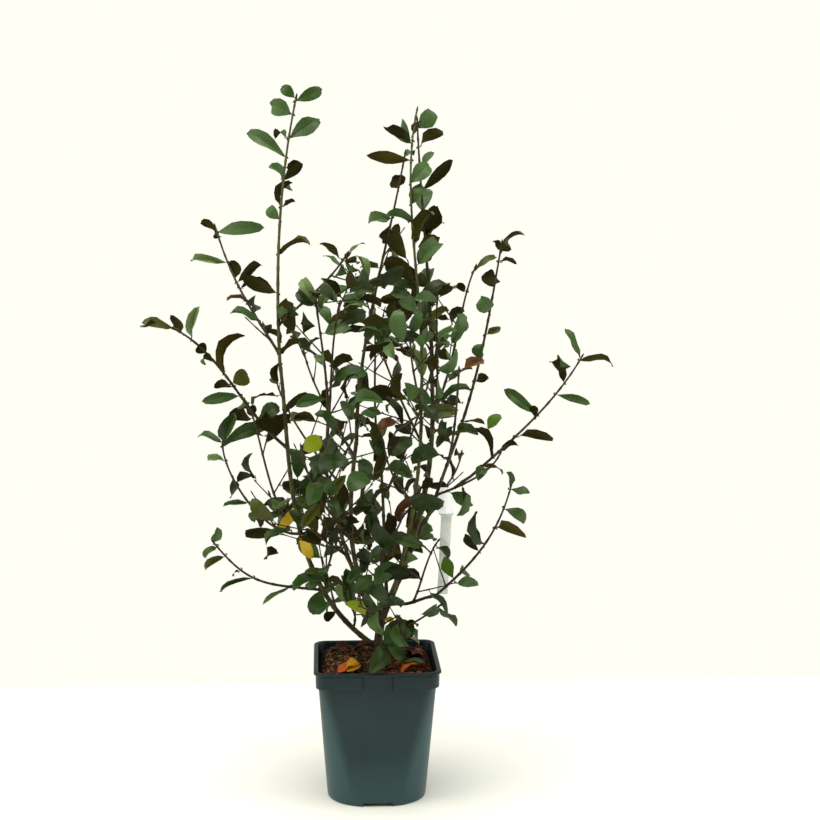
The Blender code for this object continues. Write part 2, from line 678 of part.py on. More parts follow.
def build_pot(group, cutters, material):
    outside = [
        square_ring(FOOT_HALF - 0.0012, FOOT_CORNER, 0.0),
        square_ring(FOOT_HALF, FOOT_CORNER, 0.004),
        square_ring(NECK_HALF, NECK_CORNER, LIP_BOTTOM - 0.0015),
        square_ring(LIP_HALF - 0.0012, LIP_CORNER, LIP_BOTTOM - 0.0012),
        square_ring(LIP_HALF, LIP_CORNER, LIP_BOTTOM),
        square_ring(LIP_HALF, LIP_CORNER, POT_HEIGHT - 0.0014),
        square_ring(LIP_HALF - 0.0014, LIP_CORNER, POT_HEIGHT),
        square_ring(NECK_HALF + 0.0010, NECK_CORNER, POT_HEIGHT),
        square_ring(NECK_HALF - POT_WALL, NECK_CORNER - POT_WALL, POT_HEIGHT - 0.0030),
        square_ring(inner_half(0.10), inner_corner(0.10), 0.10),
        square_ring(inner_half(POT_FLOOR + 0.002), FOOT_CORNER - POT_WALL, POT_FLOOR + 0.002),
        square_ring(inner_half(POT_FLOOR) - 0.002, FOOT_CORNER - POT_WALL, POT_FLOOR),
    ]
    pot = make_object("pot", loft(outside), group, 1.0)
    # the collar under the lip, left out along the middle of each side
    band = [
        square_ring(COLLAR_HALF, LIP_CORNER, COLLAR_BOTTOM + 0.001),
        square_ring(COLLAR_HALF, LIP_CORNER, COLLAR_TOP + 0.001),
        square_ring(NECK_HALF - 0.0008, NECK_CORNER - 0.0008, COLLAR_TOP + 0.001),
        square_ring(NECK_HALF - 0.0020, NECK_CORNER - 0.0008, COLLAR_BOTTOM),
        square_ring(COLLAR_HALF - 0.001, LIP_CORNER, COLLAR_BOTTOM),
    ]
    count = len(band[0])
    corners = [spot for ring in band for spot in ring]
    faces = [(r * count + k, r * count + (k + 1) % count,
              (r + 1) % len(band) * count + (k + 1) % count, (r + 1) % len(band) * count + k)
             for r in range(len(band)) for k in range(count)]
    collar = make_object("collar", (corners, faces), cutters, 1.0)
    wide, strip = 0.2, PANEL_WIDTH / 2
    cut_away(collar, make_object("strip_x", block(-wide, wide, -strip, strip, 0.1, 0.25),
                                 cutters, 1.0))
    cut_away(collar, make_object("strip_y", block(-strip, strip, -wide, wide, 0.1, 0.25),
                                 cutters, 1.0))
    collars = new_collection("collar_pieces", shown=False)
    collars.objects.link(collar)
    join_all(pot, collars)
    bpy.data.objects.remove(collar)
    bpy.data.collections.remove(collars)
    # shallow drainage notches in the middle of each side of the foot
    half, near, far = NOTCH_WIDTH / 2, FOOT_HALF - NOTCH_DEPTH, FOOT_HALF + 0.02
    for k, (x0, x1, y0, y1) in enumerate(((near, far, -half, half), (-far, -near, -half, half),
                                          (-half, half, near, far), (-half, half, -far, -near))):
        notch = make_object("notch_%d" % k, block(x0, x1, y0, y1, -0.01, NOTCH_HEIGHT),
                            cutters, 1.0)
        cut_away(pot, notch)
    pot.data.materials.clear()
    pot.data.materials.append(material)
    return pot


def soil_bumps(x, y):
    far = math.hypot(x - 0.006, y - 0.010)
    fade = min(1.0, max(0.0, (far - 0.022) / 0.02))
    return fade * SOIL_RELIEF * (math.sin(x * 130 + 1.0) * math.cos(y * 110) - 0.3)


def build_soil(group, material):
    clear = 0.0003
    top = SOIL_TOP - 0.002
    rings = [
        square_ring(inner_half(POT_FLOOR) - 0.002 - clear, FOOT_CORNER - POT_WALL, POT_FLOOR + clear),
        square_ring(inner_half(0.006) - clear * 1.6, inner_corner(0.006), 0.006),
        square_ring(inner_half(0.10) - clear * 1.6, inner_corner(0.10), 0.10),
        square_ring(inner_half(top) - clear * 1.6, inner_corner(top), top),
    ]
    full = inner_half(top)
    for share in (0.78, 0.52):
        rings.append(square_ring(full * share, inner_corner(top) * share, SOIL_TOP, soil_bumps))
    inner = square_ring(full * 0.30, 0.012, SOIL_TOP)
    rings.append([spot + Vector((0.006, 0.010, 0)) * 0.6 for spot in inner])
    soil = make_object("soil", loft(rings), group, 1.0)
    soil.data.materials.append(material)
    return soil


def build_label(group, cutters, material):
    label = make_object("plant_label", label_plate(), group)
    loops = new_collection("loop_piece", shown=False)
    loop = make_object("loop", label_loop(LOOP_OUTER), loops)
    join_all(label, loops)
    bpy.data.objects.remove(loop)
    bpy.data.collections.remove(loops)
    corners, faces = label_loop(LOOP_INNER)
    half = len(corners) // 2
    way = (corners[half] - corners[0]).normalized()
    corners = [c + way * (-1 if k < half else 1) for k, c in enumerate(corners)]
    cut_away(label, make_object("loop_hole", (corners, faces), cutters))
    keep_largest(label)
    label.data.materials.clear()
    label.data.materials.append(material)
    return label


def parent_cutter(name, cutters):
    """A copy of the limb that bears this one, fatter by the gap."""
    parent = LIMBS[name][0]
    sides = TRUNK_SIDES if parent == "trunk" else BOUGH_SIDES
    spare = GAP / CM / math.cos(math.pi / sides)
    return make_object("fat_" + parent, solid_limb(parent, spare), cutters)


def build_bough(name, group, cutters, material):
    bough = make_object(name + "_bough", solid_limb(name), group)
    if LIMBS[name][1] < 1.0:
        cut_away(bough, parent_cutter(name, cutters))
        keep_largest(bough)
    bough.data.materials.append(material)
    return bough


def build_mass(mass, grown, group, cutters, material):
    """One leafy mass: its shoots, twigs and leaves fused into one body."""
    pieces = new_collection("pieces_" + mass, shown=False)
    first = None
    for shoot, _, _ in MASSES[mass]:
        on_own_shoot = LIMBS[shoot][0] not in BOUGHS and mass_of(LIMBS[shoot][0]) == mass
        obj = make_object(shoot + "_shoot", solid_limb(shoot),
                          group if first is None else pieces)
        if not on_own_shoot and LIMBS[shoot][1] < 1.0:
            cut_away(obj, parent_cutter(shoot, cutters))
            keep_largest(obj)
        first = first or obj
    for k, twig in enumerate(grown["twigs"]):
        make_object("twig_%d" % k, twig_mesh(twig), pieces)
        for n, leaf in enumerate(twig["leaves"]):
            make_object("twig_%d_leaf_%d" % (k, n), leaf_mesh(leaf), pieces)
    for n, leaf in enumerate(grown["leaves"]):
        make_object("leaf_%d" % n, leaf_mesh(leaf), pieces)
    join_all(first, pieces, MASS_SOLVER)
    for obj in list(pieces.objects):
        bpy.data.objects.remove(obj)
    bpy.data.collections.remove(pieces)
    first.name = mass + "_leaves"
    count = keep_largest(first)
    first.data.materials.clear()
    first.data.materials.append(material)
    return first, count


MASS_SOLVER = "MANIFOLD"


def build():
    for obj in list(bpy.data.objects):
        bpy.data.objects.remove(obj)
    group = new_collection(NAME)
    cutters = new_collection("cutters", shown=False)
    plastic = make_material("pot_plastic", (0.045, 0.085, 0.095), 0.45)
    earth = make_material("soil", (0.045, 0.025, 0.016), 0.95)
    bark = make_material("bark_brown", (0.055, 0.038, 0.026), 0.8)
    green_bark = make_material("bark_green", (0.10, 0.11, 0.045), 0.7)
    green = make_material("leaf_green", (0.035, 0.075, 0.03), 0.5)
    build_pot(group, cutters, plastic)
    build_soil(group, earth)
    trunk = make_object("trunk", trunk_mesh(), group)
    trunk.data.materials.append(bark)
    for name in BOUGHS:
        build_bough(name, group, cutters, green_bark if name in ("left", "tall") else bark)
    build_label(group, cutters, make_material("label_paper", (0.75, 0.77, 0.74), 0.7))
    plan = lay_out()
    for mass in MASSES:
        obj, count = build_mass(mass, plan[mass], group, cutters, green)
        leaves = len(plan[mass]["leaves"]) + sum(len(t["leaves"]) for t in plan[mass]["twigs"])
        print("mass", mass, "leaves", leaves, "pieces", count, "triangles", len(obj.data.polygons))


build()
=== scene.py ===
# %% [markdown]
# # A potted magnolia
# An evergreen shrub with many thin stems stands in a square nursery pot. The packed
# model already holds the pot, the soil, the limbs and one plain solid for each leafy
# mass. This lesson dresses that frame: bark on the limbs, real leaves on their stalks,
# moulded plastic, bark mulch, and a paper plant label.

# %% Load the frame
import json
import math
import random
from functools import cache

import bmesh
import bpy
from mathutils import Matrix, Vector, kdtree, noise
from mathutils.bvhtree import BVHTree

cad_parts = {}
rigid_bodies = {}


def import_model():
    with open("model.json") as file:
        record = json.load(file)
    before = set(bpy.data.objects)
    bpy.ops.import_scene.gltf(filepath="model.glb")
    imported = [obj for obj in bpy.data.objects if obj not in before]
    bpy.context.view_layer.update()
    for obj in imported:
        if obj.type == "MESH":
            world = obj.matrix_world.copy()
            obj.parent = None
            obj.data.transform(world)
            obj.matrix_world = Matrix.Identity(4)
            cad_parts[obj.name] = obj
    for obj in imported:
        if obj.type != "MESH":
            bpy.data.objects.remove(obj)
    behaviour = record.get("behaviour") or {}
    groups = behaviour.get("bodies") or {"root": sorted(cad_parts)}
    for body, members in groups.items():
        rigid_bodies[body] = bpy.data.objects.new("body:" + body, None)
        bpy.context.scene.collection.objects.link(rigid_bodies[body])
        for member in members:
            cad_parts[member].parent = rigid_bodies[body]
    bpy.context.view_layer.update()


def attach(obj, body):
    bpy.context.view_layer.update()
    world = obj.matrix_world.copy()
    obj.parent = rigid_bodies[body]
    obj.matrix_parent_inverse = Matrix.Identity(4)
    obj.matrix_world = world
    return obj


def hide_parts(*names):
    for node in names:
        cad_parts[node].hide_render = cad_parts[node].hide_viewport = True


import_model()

# %% [markdown]
# The camera stands a little above the middle of the plant and looks slightly down, so
# that the soil shows over the pot's front rim. It is made first, so that every later
# step can be judged from the same place. Its numbers are in metres and radians.

# %% Camera
scene = bpy.context.scene


def show(name, data):
    """A new object in the scene."""
    made = bpy.data.objects.new(name, data)
    scene.collection.objects.link(made)
    return made


camera = show("camera", bpy.data.cameras.new("camera"))
camera.data.lens = 73.67
camera.location = (-0.0724, -2.2974, 0.8474)
camera.rotation_euler = (math.pi / 2 - 0.131, 0.0, -math.radians(3))
scene.camera = camera
print("camera", tuple(camera.location))

# %% [markdown]
# Sizes come next, in centimetres, because a gardener measures a shrub that way. They
# are the pot's half widths and heights, the room that leaves and shoots may take, and
# the few numbers of the growth rule: how far apart the buds stand and how long a
# season's growth is.

# %% Sizes
CM = 0.01
GAP = 0.0003                  # left between any two solids that meet

# pot: half widths and corner radii of the square, from the foot to the lip
POT_HEIGHT = 0.195
POT_WALL = 0.0016
POT_FLOOR = 0.0025
FOOT_HALF, FOOT_CORNER = 0.0695, 0.056
NECK_HALF, NECK_CORNER = 0.0825, 0.017
COLLAR_HALF, COLLAR_BOTTOM = 0.0848, 0.171
LIP_HALF, LIP_CORNER, LIP_BOTTOM = 0.0875, 0.016, 0.190
NOTCH_HEIGHT, NOTCH_DEPTH = 0.005, 0.012
SOIL_TOP = 0.178

# leaves
LEAF_LENGTH = (3.9, 6.6)      # blade
LEAF_WIDTH = (0.38, 0.50)     # share of the length
LEAF_STALK = 0.6
LEAF_THICK = 0.16
LEAF_SUNK = 0.07              # how far a root passes the middle of its twig
NODE_SPACING = 2.8            # between leaves along a shoot
TWIG_SPACING = 2.1
STEP = 4.0                    # straight lengths of a shoot's tube
FLUSH = 6.0                   # length of shoot that one season made
TWIG_LENGTH = (3.5, 8.0)
TWIG_RADIUS = 0.13
print("pot", POT_HEIGHT, "m tall and", 2 * LIP_HALF, "m across the lip")

# %% [markdown]
# The plant is a tree of limbs. Each limb is one smooth curve: its parent, the share of
# the parent where it starts, the way it leaves, the way it arrives, its tip, and its
# radius at either end. Curves were chosen over straight sticks because a shoot first
# leans out and then turns up to the light.

# %% Limbs
TRUNK_FOOT = (0.6, 1.0, 17.83)
LIMBS = {
    "trunk": (None, 0, (-0.8, 0, 6), (-2, 0, -5.1), (3.3, 1, 30.5), 0.62, 0.46),
    "left": ("trunk", 0.16, (-13.5, -0.5, 9), (1.5, 1.5, -14), (-13, -3, 61.5), 0.38, 0.24),
    "left_top": ("left", 1.0, (-0.5, -0.5, 12), (-2.5, 1, -11.5), (-10.5, -5, 96.5), 0.24, 0.12),
    "low_left": ("left", 0.26, (-8, -2.5, 1.5), (4.5, 4, -7), (-22, -7, 37.5), 0.20, 0.12),
    "mid_left": ("left", 0.46, (-5, 1, -1), (0, -2.5, -4), (-21.5, 7, 49), 0.20, 0.12),
    "out_left": ("left", 0.73, (-6.5, -0.5, 5), (8, 1.5, -2.5), (-29, -5, 67), 0.22, 0.12),
    "high_left": ("left_top", 0.03, (-4.5, 2, 7), (2.5, -4, -7.5), (-22, 6, 79.5), 0.20, 0.12),
    "in_left": ("left_top", 0.14, (3, -0.5, 3), (-2.5, 1, -4), (-4, -6, 76), 0.18, 0.12),
    "fork": ("trunk", 0.40, (-3.5, -1, 5.5), (0.5, 3, -6.5), (-7, -8, 49), 0.30, 0.22),
    "fork_left": ("fork", 1.0, (1, 0, 7.5), (1, 0.5, -7.5), (-8, -9, 69.5), 0.22, 0.12),
    "fork_right": ("fork_left", 0.04, (1, -1, 7), (-1.5, 2, -7), (-5, -13, 70), 0.18, 0.12),
    "centre": ("trunk", 0.55, (-6, 0.5, 5.5), (-1, -1.5, -7), (-2.5, 5, 49.5), 0.36, 0.28),
    "centre_top": ("centre", 1.0, (0, 0.5, 13.5), (-2.5, -1.5, -13.5), (4.5, 8, 89.5), 0.28, 0.12),
    "inner": ("trunk", 0.70, (-0.5, 2, 7), (0.5, -3.5, -6), (1, 10, 46), 0.28, 0.20),
    "inner_top": ("inner", 1.0, (-1.5, 0.5, 8), (1, -1.5, -8.5), (0, 13, 70.5), 0.20, 0.12),
    "tall": ("trunk", 0.80, (2.5, -3, 8.5), (0.5, 2.5, -10), (6, -5, 56.5), 0.30, 0.22),
    "tall_top": ("tall", 1.0, (1, 0, 12), (-2.5, -0.5, -11.5), (5.5, -4, 95), 0.22, 0.12),
    "main": ("trunk", 1.0, (4, 0.5, 10.5), (0.5, -1, -11), (8, 3, 59), 0.46, 0.28),
    "main_top": ("main", 1.0, (0, 0, 11.5), (0.5, -0.5, -12), (6, 4, 94), 0.28, 0.12),
    "slant": ("main", 0.60, (-3, 2.5, 5.5), (1.5, -3, -5.5), (0, 9, 65.5), 0.20, 0.12),
    "near_main": ("main", 0.75, (1.0, -3.5, 6.5), (0, 4, -6), (8, -8, 70.5), 0.20, 0.12),
    "behind_main": ("main", 0.82, (3.5, 2, 6.5), (-2.5, -2.5, -5), (14.5, 9, 73.5), 0.20, 0.12),
    "right": ("main", 0.08, (3, -1.5, 5), (-2, 2.5, -6), (10.5, -5, 50), 0.27, 0.21),
    "right_top": ("right", 1.0, (3.5, -0.5, 10), (-1.5, 1.5, -10), (16.5, -8, 77.5), 0.21, 0.12),
    "far_right": ("main", 0.17, (2, 0.8, 3.5), (-3.5, -0.5, -2), (13.5, 3, 44.5), 0.27, 0.21),
    "far_right_top": ("far_right", 1.0, (6, 1, 5), (-4, -1.5, -6.5), (29.5, 6, 61), 0.21, 0.12),
    "low_right": ("trunk", 0.75, (2.5, -1.5, -1), (-2, 2, -0.5), (8, -4, 29), 0.25, 0.20),
    "low_right_top": ("low_right", 1.0, (5.5, -1, 5), (-1.5, 2, -7), (18, -8, 45), 0.20, 0.12),
    "near_right": ("low_right", 0.5, (1, -3, 3), (-1.5, 3, -3), (8, -10, 38), 0.17, 0.12),
    "left_in": ("left", 0.30, (3, 1, 2), (-1, 0, -3), (-5.5, -1, 40), 0.18, 0.12),
    "left_out": ("left", 0.50, (-2, -2, 1), (1, 1, -3), (-14.5, -4.5, 43.5), 0.18, 0.12),
    "left_up": ("left_out", 0.35, (-2, 2, 2), (1, -1, -3), (-17, 4, 53), 0.18, 0.12),
    "base_centre": ("trunk", 0.62, (-0.5, -3, 2), (0, 1, -4), (0.5, -6, 36.5), 0.17, 0.12),
    "base_right": ("trunk", 0.34, (3, -3, 0.5), (-2, 2, -2), (8.4, -8.5, 28.8), 0.17, 0.12),
    "base_left": ("left", 0.10, (1, -3, 3), (0, 2, -3), (-4, -9, 31), 0.17, 0.12),
    "base_back": ("trunk", 0.46, (-1, 3.5, 2), (1, -2, -3), (-5, 10, 34), 0.17, 0.12),
    "left_low": ("left", 0.17, (-1, -3, 2), (1, 3, -3), (-7, -9.5, 34), 0.17, 0.12),
    "fork_low": ("fork", 0.45, (-3, -2, 2.5), (1.5, 2, -4), (-11, -9, 43), 0.18, 0.12),
    "fork_mid": ("fork", 0.85, (1, -2.5, 3), (-1, 3, -4), (-2.5, -16, 55), 0.17, 0.12),
    "front_low": ("trunk", 0.28, (0.5, -4, 1.5), (0, 3, -3), (-2.5, -11, 31), 0.18, 0.12),
    "centre_low": ("centre", 0.45, (-2, 3, 3), (1, -2, -4), (-9, 13, 43), 0.18, 0.12),
    "centre_mid": ("centre", 0.90, (-2.5, 2, 4), (1, -2, -5), (-10, 11, 62), 0.18, 0.12),
    "inner_low": ("inner", 0.35, (1.5, 3.5, 2), (0, -3, -4), (5, 17, 40), 0.18, 0.12),
    "tall_low": ("tall", 0.50, (-2, -3, 3), (1, 2, -4), (1, -11, 50), 0.18, 0.12),
    "tall_mid": ("tall", 0.85, (0.5, -3, 3), (0, 2, -5), (4, -16, 66), 0.18, 0.12),
    "main_low": ("main", 0.30, (2, 3, 2), (-1, -2, -4), (13, 13, 46), 0.18, 0.12),
    "right_low": ("right", 0.60, (3, -2, 1.5), (-1, 2, -3), (16, -12, 50), 0.18, 0.12),
    "back_left": ("centre", 0.68, (-3, 4, 3), (2, -3, -6), (-14, 19, 56), 0.20, 0.12),
    "back_right": ("inner", 0.72, (3, 3, 4), (-1, -3, -6), (10, 21, 62), 0.20, 0.12),
    "front_left": ("fork", 0.64, (-2, -4, 3), (1, 3, -6), (-10, -18, 52), 0.20, 0.12),
    "front_right": ("right", 0.85, (0.5, -4, 3), (0, 3, -6), (10, -19, 62), 0.20, 0.12),
}
TRUNK_SIDES, BOUGH_SIDES, BOUGH_STEPS = 10, 5, 6
BOUGHS = ("left", "fork", "centre", "inner", "tall", "main", "right", "far_right", "low_right")
print("limbs", len(LIMBS), "of which boughs", len(BOUGHS))

# %% [markdown]
# The paper label hangs on one bough. The leafy masses follow: which shoots each is made
# of, how often a bud makes a twig rather than a leaf, and one fixed seed for every flush
# of growth. Fixed seeds give the same plant each time the file is run.

# %% Label and leafy masses
# paper plant label looped round a bough: loop, plate front, head and strip
LABEL_BOUGH, LABEL_FROM, LABEL_TO = "far_right", 0.60, 0.68
LOOP_INNER, LOOP_OUTER = 0.44, 0.50
LABEL_FRONT, LABEL_THICK = 1.92, 0.07
LABEL_HEAD = (8.9, 11.2, 39.3, 43.2)      # left, right, bottom, top
LABEL_STRIP_WIDTH, LABEL_STRIP_END = 1.5, (9.5, 27.8)

# Shoots with leaves: the chance that a bud makes a twig rather than a leaf, and the seed
# of every flush of growth along the shoot
SHOOTS = {
    "left_top": (0.12, (115, 295, 344, 299, 253, 286)), "high_left": (0.12, (256, 226, 101, 53)),
    "in_left": (0.1, (97, 203)), "out_left": (0.15, (77, 336, 303, 102)),
    "low_left": (0.3, (256, 257, 137)), "mid_left": (0.25, (154, 17, 59)),
    "far_right_top": (0.15, (304, 67, 112, 127)), "right_top": (0.2, (163, 299, 82, 81, 296)),
    "tall_top": (0.15, (200, 1, 114, 219, 308, 244)),
    "main_top": (0.15, (276, 148, 255, 319, 162, 138)),
    "centre_top": (0.3, (256, 154, 179, 109, 1, 2, 252)), "low_right_top": (0.15, (312, 333, 42)),
    "fork_left": (0.3, (323, 139, 146)), "fork_right": (0.3, (70, 347, 135)),
    "behind_main": (0.3, (255, 285, 116, 54)), "near_main": (0.35, (79, 110, 214, 333)),
    "slant": (0.4, (109, 298, 202, 203)), "inner_top": (0.4, (47, 197, 4, 214)),
    "near_right": (0.4, (220, 220)), "left_in": (0.5, (148, 156)), "left_out": (0.4, (303,)),
    "left_up": (0.4, (256, 268, 108)), "base_right": (0.4, (68, 321)),
    "base_centre": (0.5, (256, 305)), "base_left": (0.4, (145, 154)),
    "left_low": (0.4, (203, 172)), "front_low": (0.4, (17, 154, 76)), "fork_low": (0.5, (33, 61)),
    "fork_mid": (0.5, (2, 109)), "tall_low": (0.5, (251, 157)), "tall_mid": (0.45, (40, 74, 28)),
    "right_low": (0.45, (325, 42)), "front_left": (0.45, (23, 347, 322)),
    "front_right": (0.4, (299, 348, 71, 111)), "centre_low": (0.5, (256, 58)),
    "centre_mid": (0.5, (45, 270, 250)), "inner_low": (0.5, (28, 260, 42)),
    "main_low": (0.5, (33, 296, 208)), "base_back": (0.5, (66, 89)),
    "back_left": (0.45, (72, 315, 114, 247)), "back_right": (0.45, (66, 79, 210, 164)),
}
# a shoot makes a leafy mass of its own name, but these make one together or under another
MASS_OF = {"high_left": "left_top", "in_left": "left_top", "far_right_top": "far_right",
           "low_right_top": "low_right", "fork_left": "fork_crown",
           "fork_right": "fork_crown", "left_up": "left_out"}
masses = list(dict.fromkeys(MASS_OF.get(shoot, shoot) for shoot in SHOOTS))
print("shoots with leaves", len(SHOOTS), "in leafy masses", len(masses))

# %% [markdown]
# A limb is a Bezier curve with four control points, so a point, a direction and a
# radius can be read at any share from 0 to 1. Leaves are set on the straight lengths of
# a shoot, which is what keeps every stalk touching its stem.

# %% Reading a limb
@cache
def handles(name):
    """The four control points of a limb's centre line, in centimetres."""
    parent, share, leave, arrive, tip, _, _ = LIMBS[name]
    start = Vector(TRUNK_FOOT) if parent is None else limb_point(parent, share)
    tip = Vector(tip)
    return start, start + Vector(leave), tip + Vector(arrive), tip


def limb_point(name, t):
    a, b, c, d = handles(name)
    u = 1.0 - t
    return a * u ** 3 + b * (3 * u * u * t) + c * (3 * u * t * t) + d * t ** 3


def tube_steps(name):
    """How many straight lengths a shoot's tube is made of."""
    return max(3, round(limb_length(name) / STEP))


def tube_point(name, t):
    """The point at a share, on the straight length of tube that it falls in."""
    steps = tube_steps(name)
    start = limb_start(name)
    place = max(0.0, (t - start) / (1.0 - start)) * steps
    k = min(int(place), steps - 1)
    a = limb_point(name, start + (1.0 - start) * k / steps)
    b = limb_point(name, start + (1.0 - start) * (k + 1) / steps)
    return a + (b - a) * (place - k)


def limb_direction(name, t):
    a, b, c, d = handles(name)
    u = 1.0 - t
    return ((b - a) * (u * u) + (c - b) * (2 * u * t) + (d - c) * (t * t)).normalized()


def limb_radius(name, t):
    first, last = LIMBS[name][5:7]
    return first + (last - first) * t


@cache
def limb_length(name, steps=24):
    points = [limb_point(name, k / steps) for k in range(steps + 1)]
    return sum((q - p).length for p, q in zip(points, points[1:]))


def crossways(direction):
    """Two unit vectors square to a direction that never runs along Y."""
    side = direction.cross(Vector((0, 1, 0))).normalized()
    return side, side.cross(direction)


def outward(along, turn):
    """The unit vector that points away from a stem at a turn round it."""
    side, other = crossways(along)
    return side * math.cos(turn) + other * math.sin(turn)


print("length of the main bough", round(limb_length("main"), 1), "cm")

# %% [markdown]
# Magnolia leaves are alternate: each bud stands about 137 degrees round the stem from
# the last, which gives every leaf its own light. A bud makes one leaf or a short twig
# with leaves of its own. All angles come from dice with a fixed seed.

# %% The growth rule
def grow_leaf(dice, root, along, turn, vigour, opening=(35, 80)):
    """One leaf: root, stalk end, the way it points, the way its face looks, size."""
    open_angle = math.radians(dice.uniform(*opening))
    points = along * math.cos(open_angle) + outward(along, turn) * math.sin(open_angle)
    points = (points + Vector((0, 0, -dice.uniform(0.0, 0.55)))).normalized()
    face = along - points * along.dot(points)
    face = (face.normalized() + Vector((0, 0, 0.6))).normalized()
    face = (face - points * face.dot(points)).normalized()
    roll = math.radians(dice.uniform(-65, 65))
    across = points.cross(face)
    face = face * math.cos(roll) + across * math.sin(roll)
    length = dice.uniform(*LEAF_LENGTH) * vigour
    return {"root": root, "points": points, "face": face, "length": length,
            "width": length * dice.uniform(*LEAF_WIDTH)}


def grow_twig(dice, root, along, turn):
    """A short side twig that swings up, with leaves along it and one at its tip."""
    angle = math.radians(dice.uniform(40, 65))
    way = along * math.cos(angle) + outward(along, turn) * math.sin(angle)
    way = (way + Vector((0, 0, dice.uniform(0.0, 0.4)))).normalized()
    if abs(way.y) > 0.93:
        way = (way + Vector((0.4, 0, 0.4))).normalized()
    length = dice.uniform(*TWIG_LENGTH)
    end = root + way * length
    leaves = []
    spin = dice.uniform(0, math.tau)
    done = TWIG_SPACING * dice.uniform(0.7, 1.0)
    while done < length - 0.8:
        spin += math.radians(137.5 + dice.uniform(-35, 35))
        leaves.append(grow_leaf(dice, root + way * done, way, spin, 0.9))
        done += TWIG_SPACING * dice.uniform(0.8, 1.2)
    leaves.append(grow_leaf(dice, end - way * 0.12, way, spin + 2.4, 0.95, (5, 50)))
    return {"path": (root, end), "leaves": leaves}


def grow_flush(seed, shoot, first, last, twigginess, at_tip):
    """Everything that one season's growth carries between two shares of a shoot."""
    dice = random.Random(seed)
    length = limb_length(shoot)
    share = first + dice.uniform(0.1, 0.6) * NODE_SPACING / length
    turn = dice.uniform(0, math.tau)
    leaves, twigs = [], []
    while share < last - 0.2 * NODE_SPACING / length:
        root = tube_point(shoot, share)
        along = limb_direction(shoot, share)
        turn += math.radians(137.5 + dice.uniform(-40, 40))
        if dice.random() < twigginess:
            twigs.append(grow_twig(dice, root, along, turn))
        else:
            leaves.append(grow_leaf(dice, root, along, turn, 1.0))
        share += NODE_SPACING * dice.uniform(0.75, 1.15) / length
    if at_tip:
        along = limb_direction(shoot, 1.0)
        root = tube_point(shoot, 1.0 - 0.15 / length)
        leaves.append(grow_leaf(dice, root, along, turn + 2.4, 0.8, (15, 65)))
        root = tube_point(shoot, 1.0 - 0.9 / length)
        leaves.append(grow_leaf(dice, root, along, turn + 4.6, 0.75, (25, 60)))
    return leaves, twigs


def flush_shares(shoot):
    """The shares where each flush of a shoot begins and ends."""
    count = max(1, round(limb_length(shoot) / FLUSH))
    return [(k / count, (k + 1) / count) for k in range(count)]


print("seasons of growth on the tallest shoot", len(flush_shares("left_top")))

# %% [markdown]
# To know whether there is room for a leaf, plain stand-ins are enough: a six-faced
# blade, and tubes of flat sides. They are never shown here. The real leaves come later
# in their places. A real leaf curls, so it can reach a little past its stand-in.

# %% Plain stand-ins
def leaf_mesh(leaf, spare=0.0):
    """A six-faced blade: a root sunk in the twig, two sides, a tip and a ridge."""
    points, face = leaf["points"], leaf["face"]
    across = points.cross(face)
    root = leaf["root"]
    half = leaf["width"] * 0.60 + spare
    under = root - face * spare
    widest = under + points * (LEAF_STALK + leaf["length"] * 0.48)
    ridge = root + points * (LEAF_STALK + leaf["length"] * 0.25)
    corners = [under - points * LEAF_SUNK,
               widest - across * half, widest + across * half,
               ridge + face * (LEAF_THICK + spare),
               under + points * (LEAF_STALK + leaf["length"] + spare)]
    faces = [(0, 3, 1), (0, 2, 3), (4, 1, 3), (4, 3, 2), (0, 1, 2), (4, 2, 1)]
    return corners, faces


def loft(rings, ends=True):
    """A skin over rings of equal count, with a flat face at either end if wanted."""
    count = len(rings[0])
    corners = [spot for ring in rings for spot in ring]
    faces = [(r * count + k, r * count + (k + 1) % count,
              (r + 1) * count + (k + 1) % count, (r + 1) * count + k)
             for r in range(len(rings) - 1) for k in range(count)]
    if ends:
        faces += [tuple(range(count - 1, -1, -1)),
                  tuple(range((len(rings) - 1) * count, len(rings) * count))]
    return corners, faces


def tube_mesh(path, radii, sides, spare=0.0, ends=(None, None)):
    """A closed tube of flat sides along a path, square to it or to its given ends."""
    rings, last = [], len(path) - 1
    for k, spot in enumerate(path):
        way = (path[min(k + 1, last)] - path[max(k - 1, 0)]).normalized()
        way = (k == 0 and ends[0]) or (k == last and ends[1]) or way
        rings.append([spot + outward(way, math.tau * s / sides) * (radii[k] + spare)
                      for s in range(sides)])
    return loft(rings)


def limb_mesh(name, first, steps, sides):
    shares = [first + (1.0 - first) * k / steps for k in range(steps + 1)]
    parent, share = LIMBS[name][:2]
    start_way = limb_direction(parent, 1.0) if parent and share >= 1.0 else None
    return tube_mesh([limb_point(name, t) for t in shares],
                     [limb_radius(name, t) for t in shares], sides, 0.0,
                     (start_way, limb_direction(name, 1.0)))


def trunk_mesh():
    """The trunk: cut flat on the soil, flared at the foot, tapering to the fork."""
    shares = [k / 6 for k in range(7)]
    corners, faces = tube_mesh(
        [limb_point("trunk", t) for t in shares],
        [limb_radius("trunk", t) + 0.42 * math.exp(-6.0 * t) for t in shares], TRUNK_SIDES)
    for corner in corners[:TRUNK_SIDES]:
        corner.z = TRUNK_FOOT[2]
    return corners, faces


def twig_mesh(twig, spare=0.0):
    return tube_mesh(twig["path"], (TWIG_RADIUS, TWIG_RADIUS * 0.8), 3, spare)


def loop_ends(spare=0.0):
    """The two ends of the label's loop, which hangs on its bough."""
    drop = Vector((0, 0, LOOP_INNER - limb_radius(LABEL_BOUGH, LABEL_FROM) - GAP / CM * 1.5))
    return [limb_point(LABEL_BOUGH, t) - drop for t in (LABEL_FROM - spare, LABEL_TO + spare)]


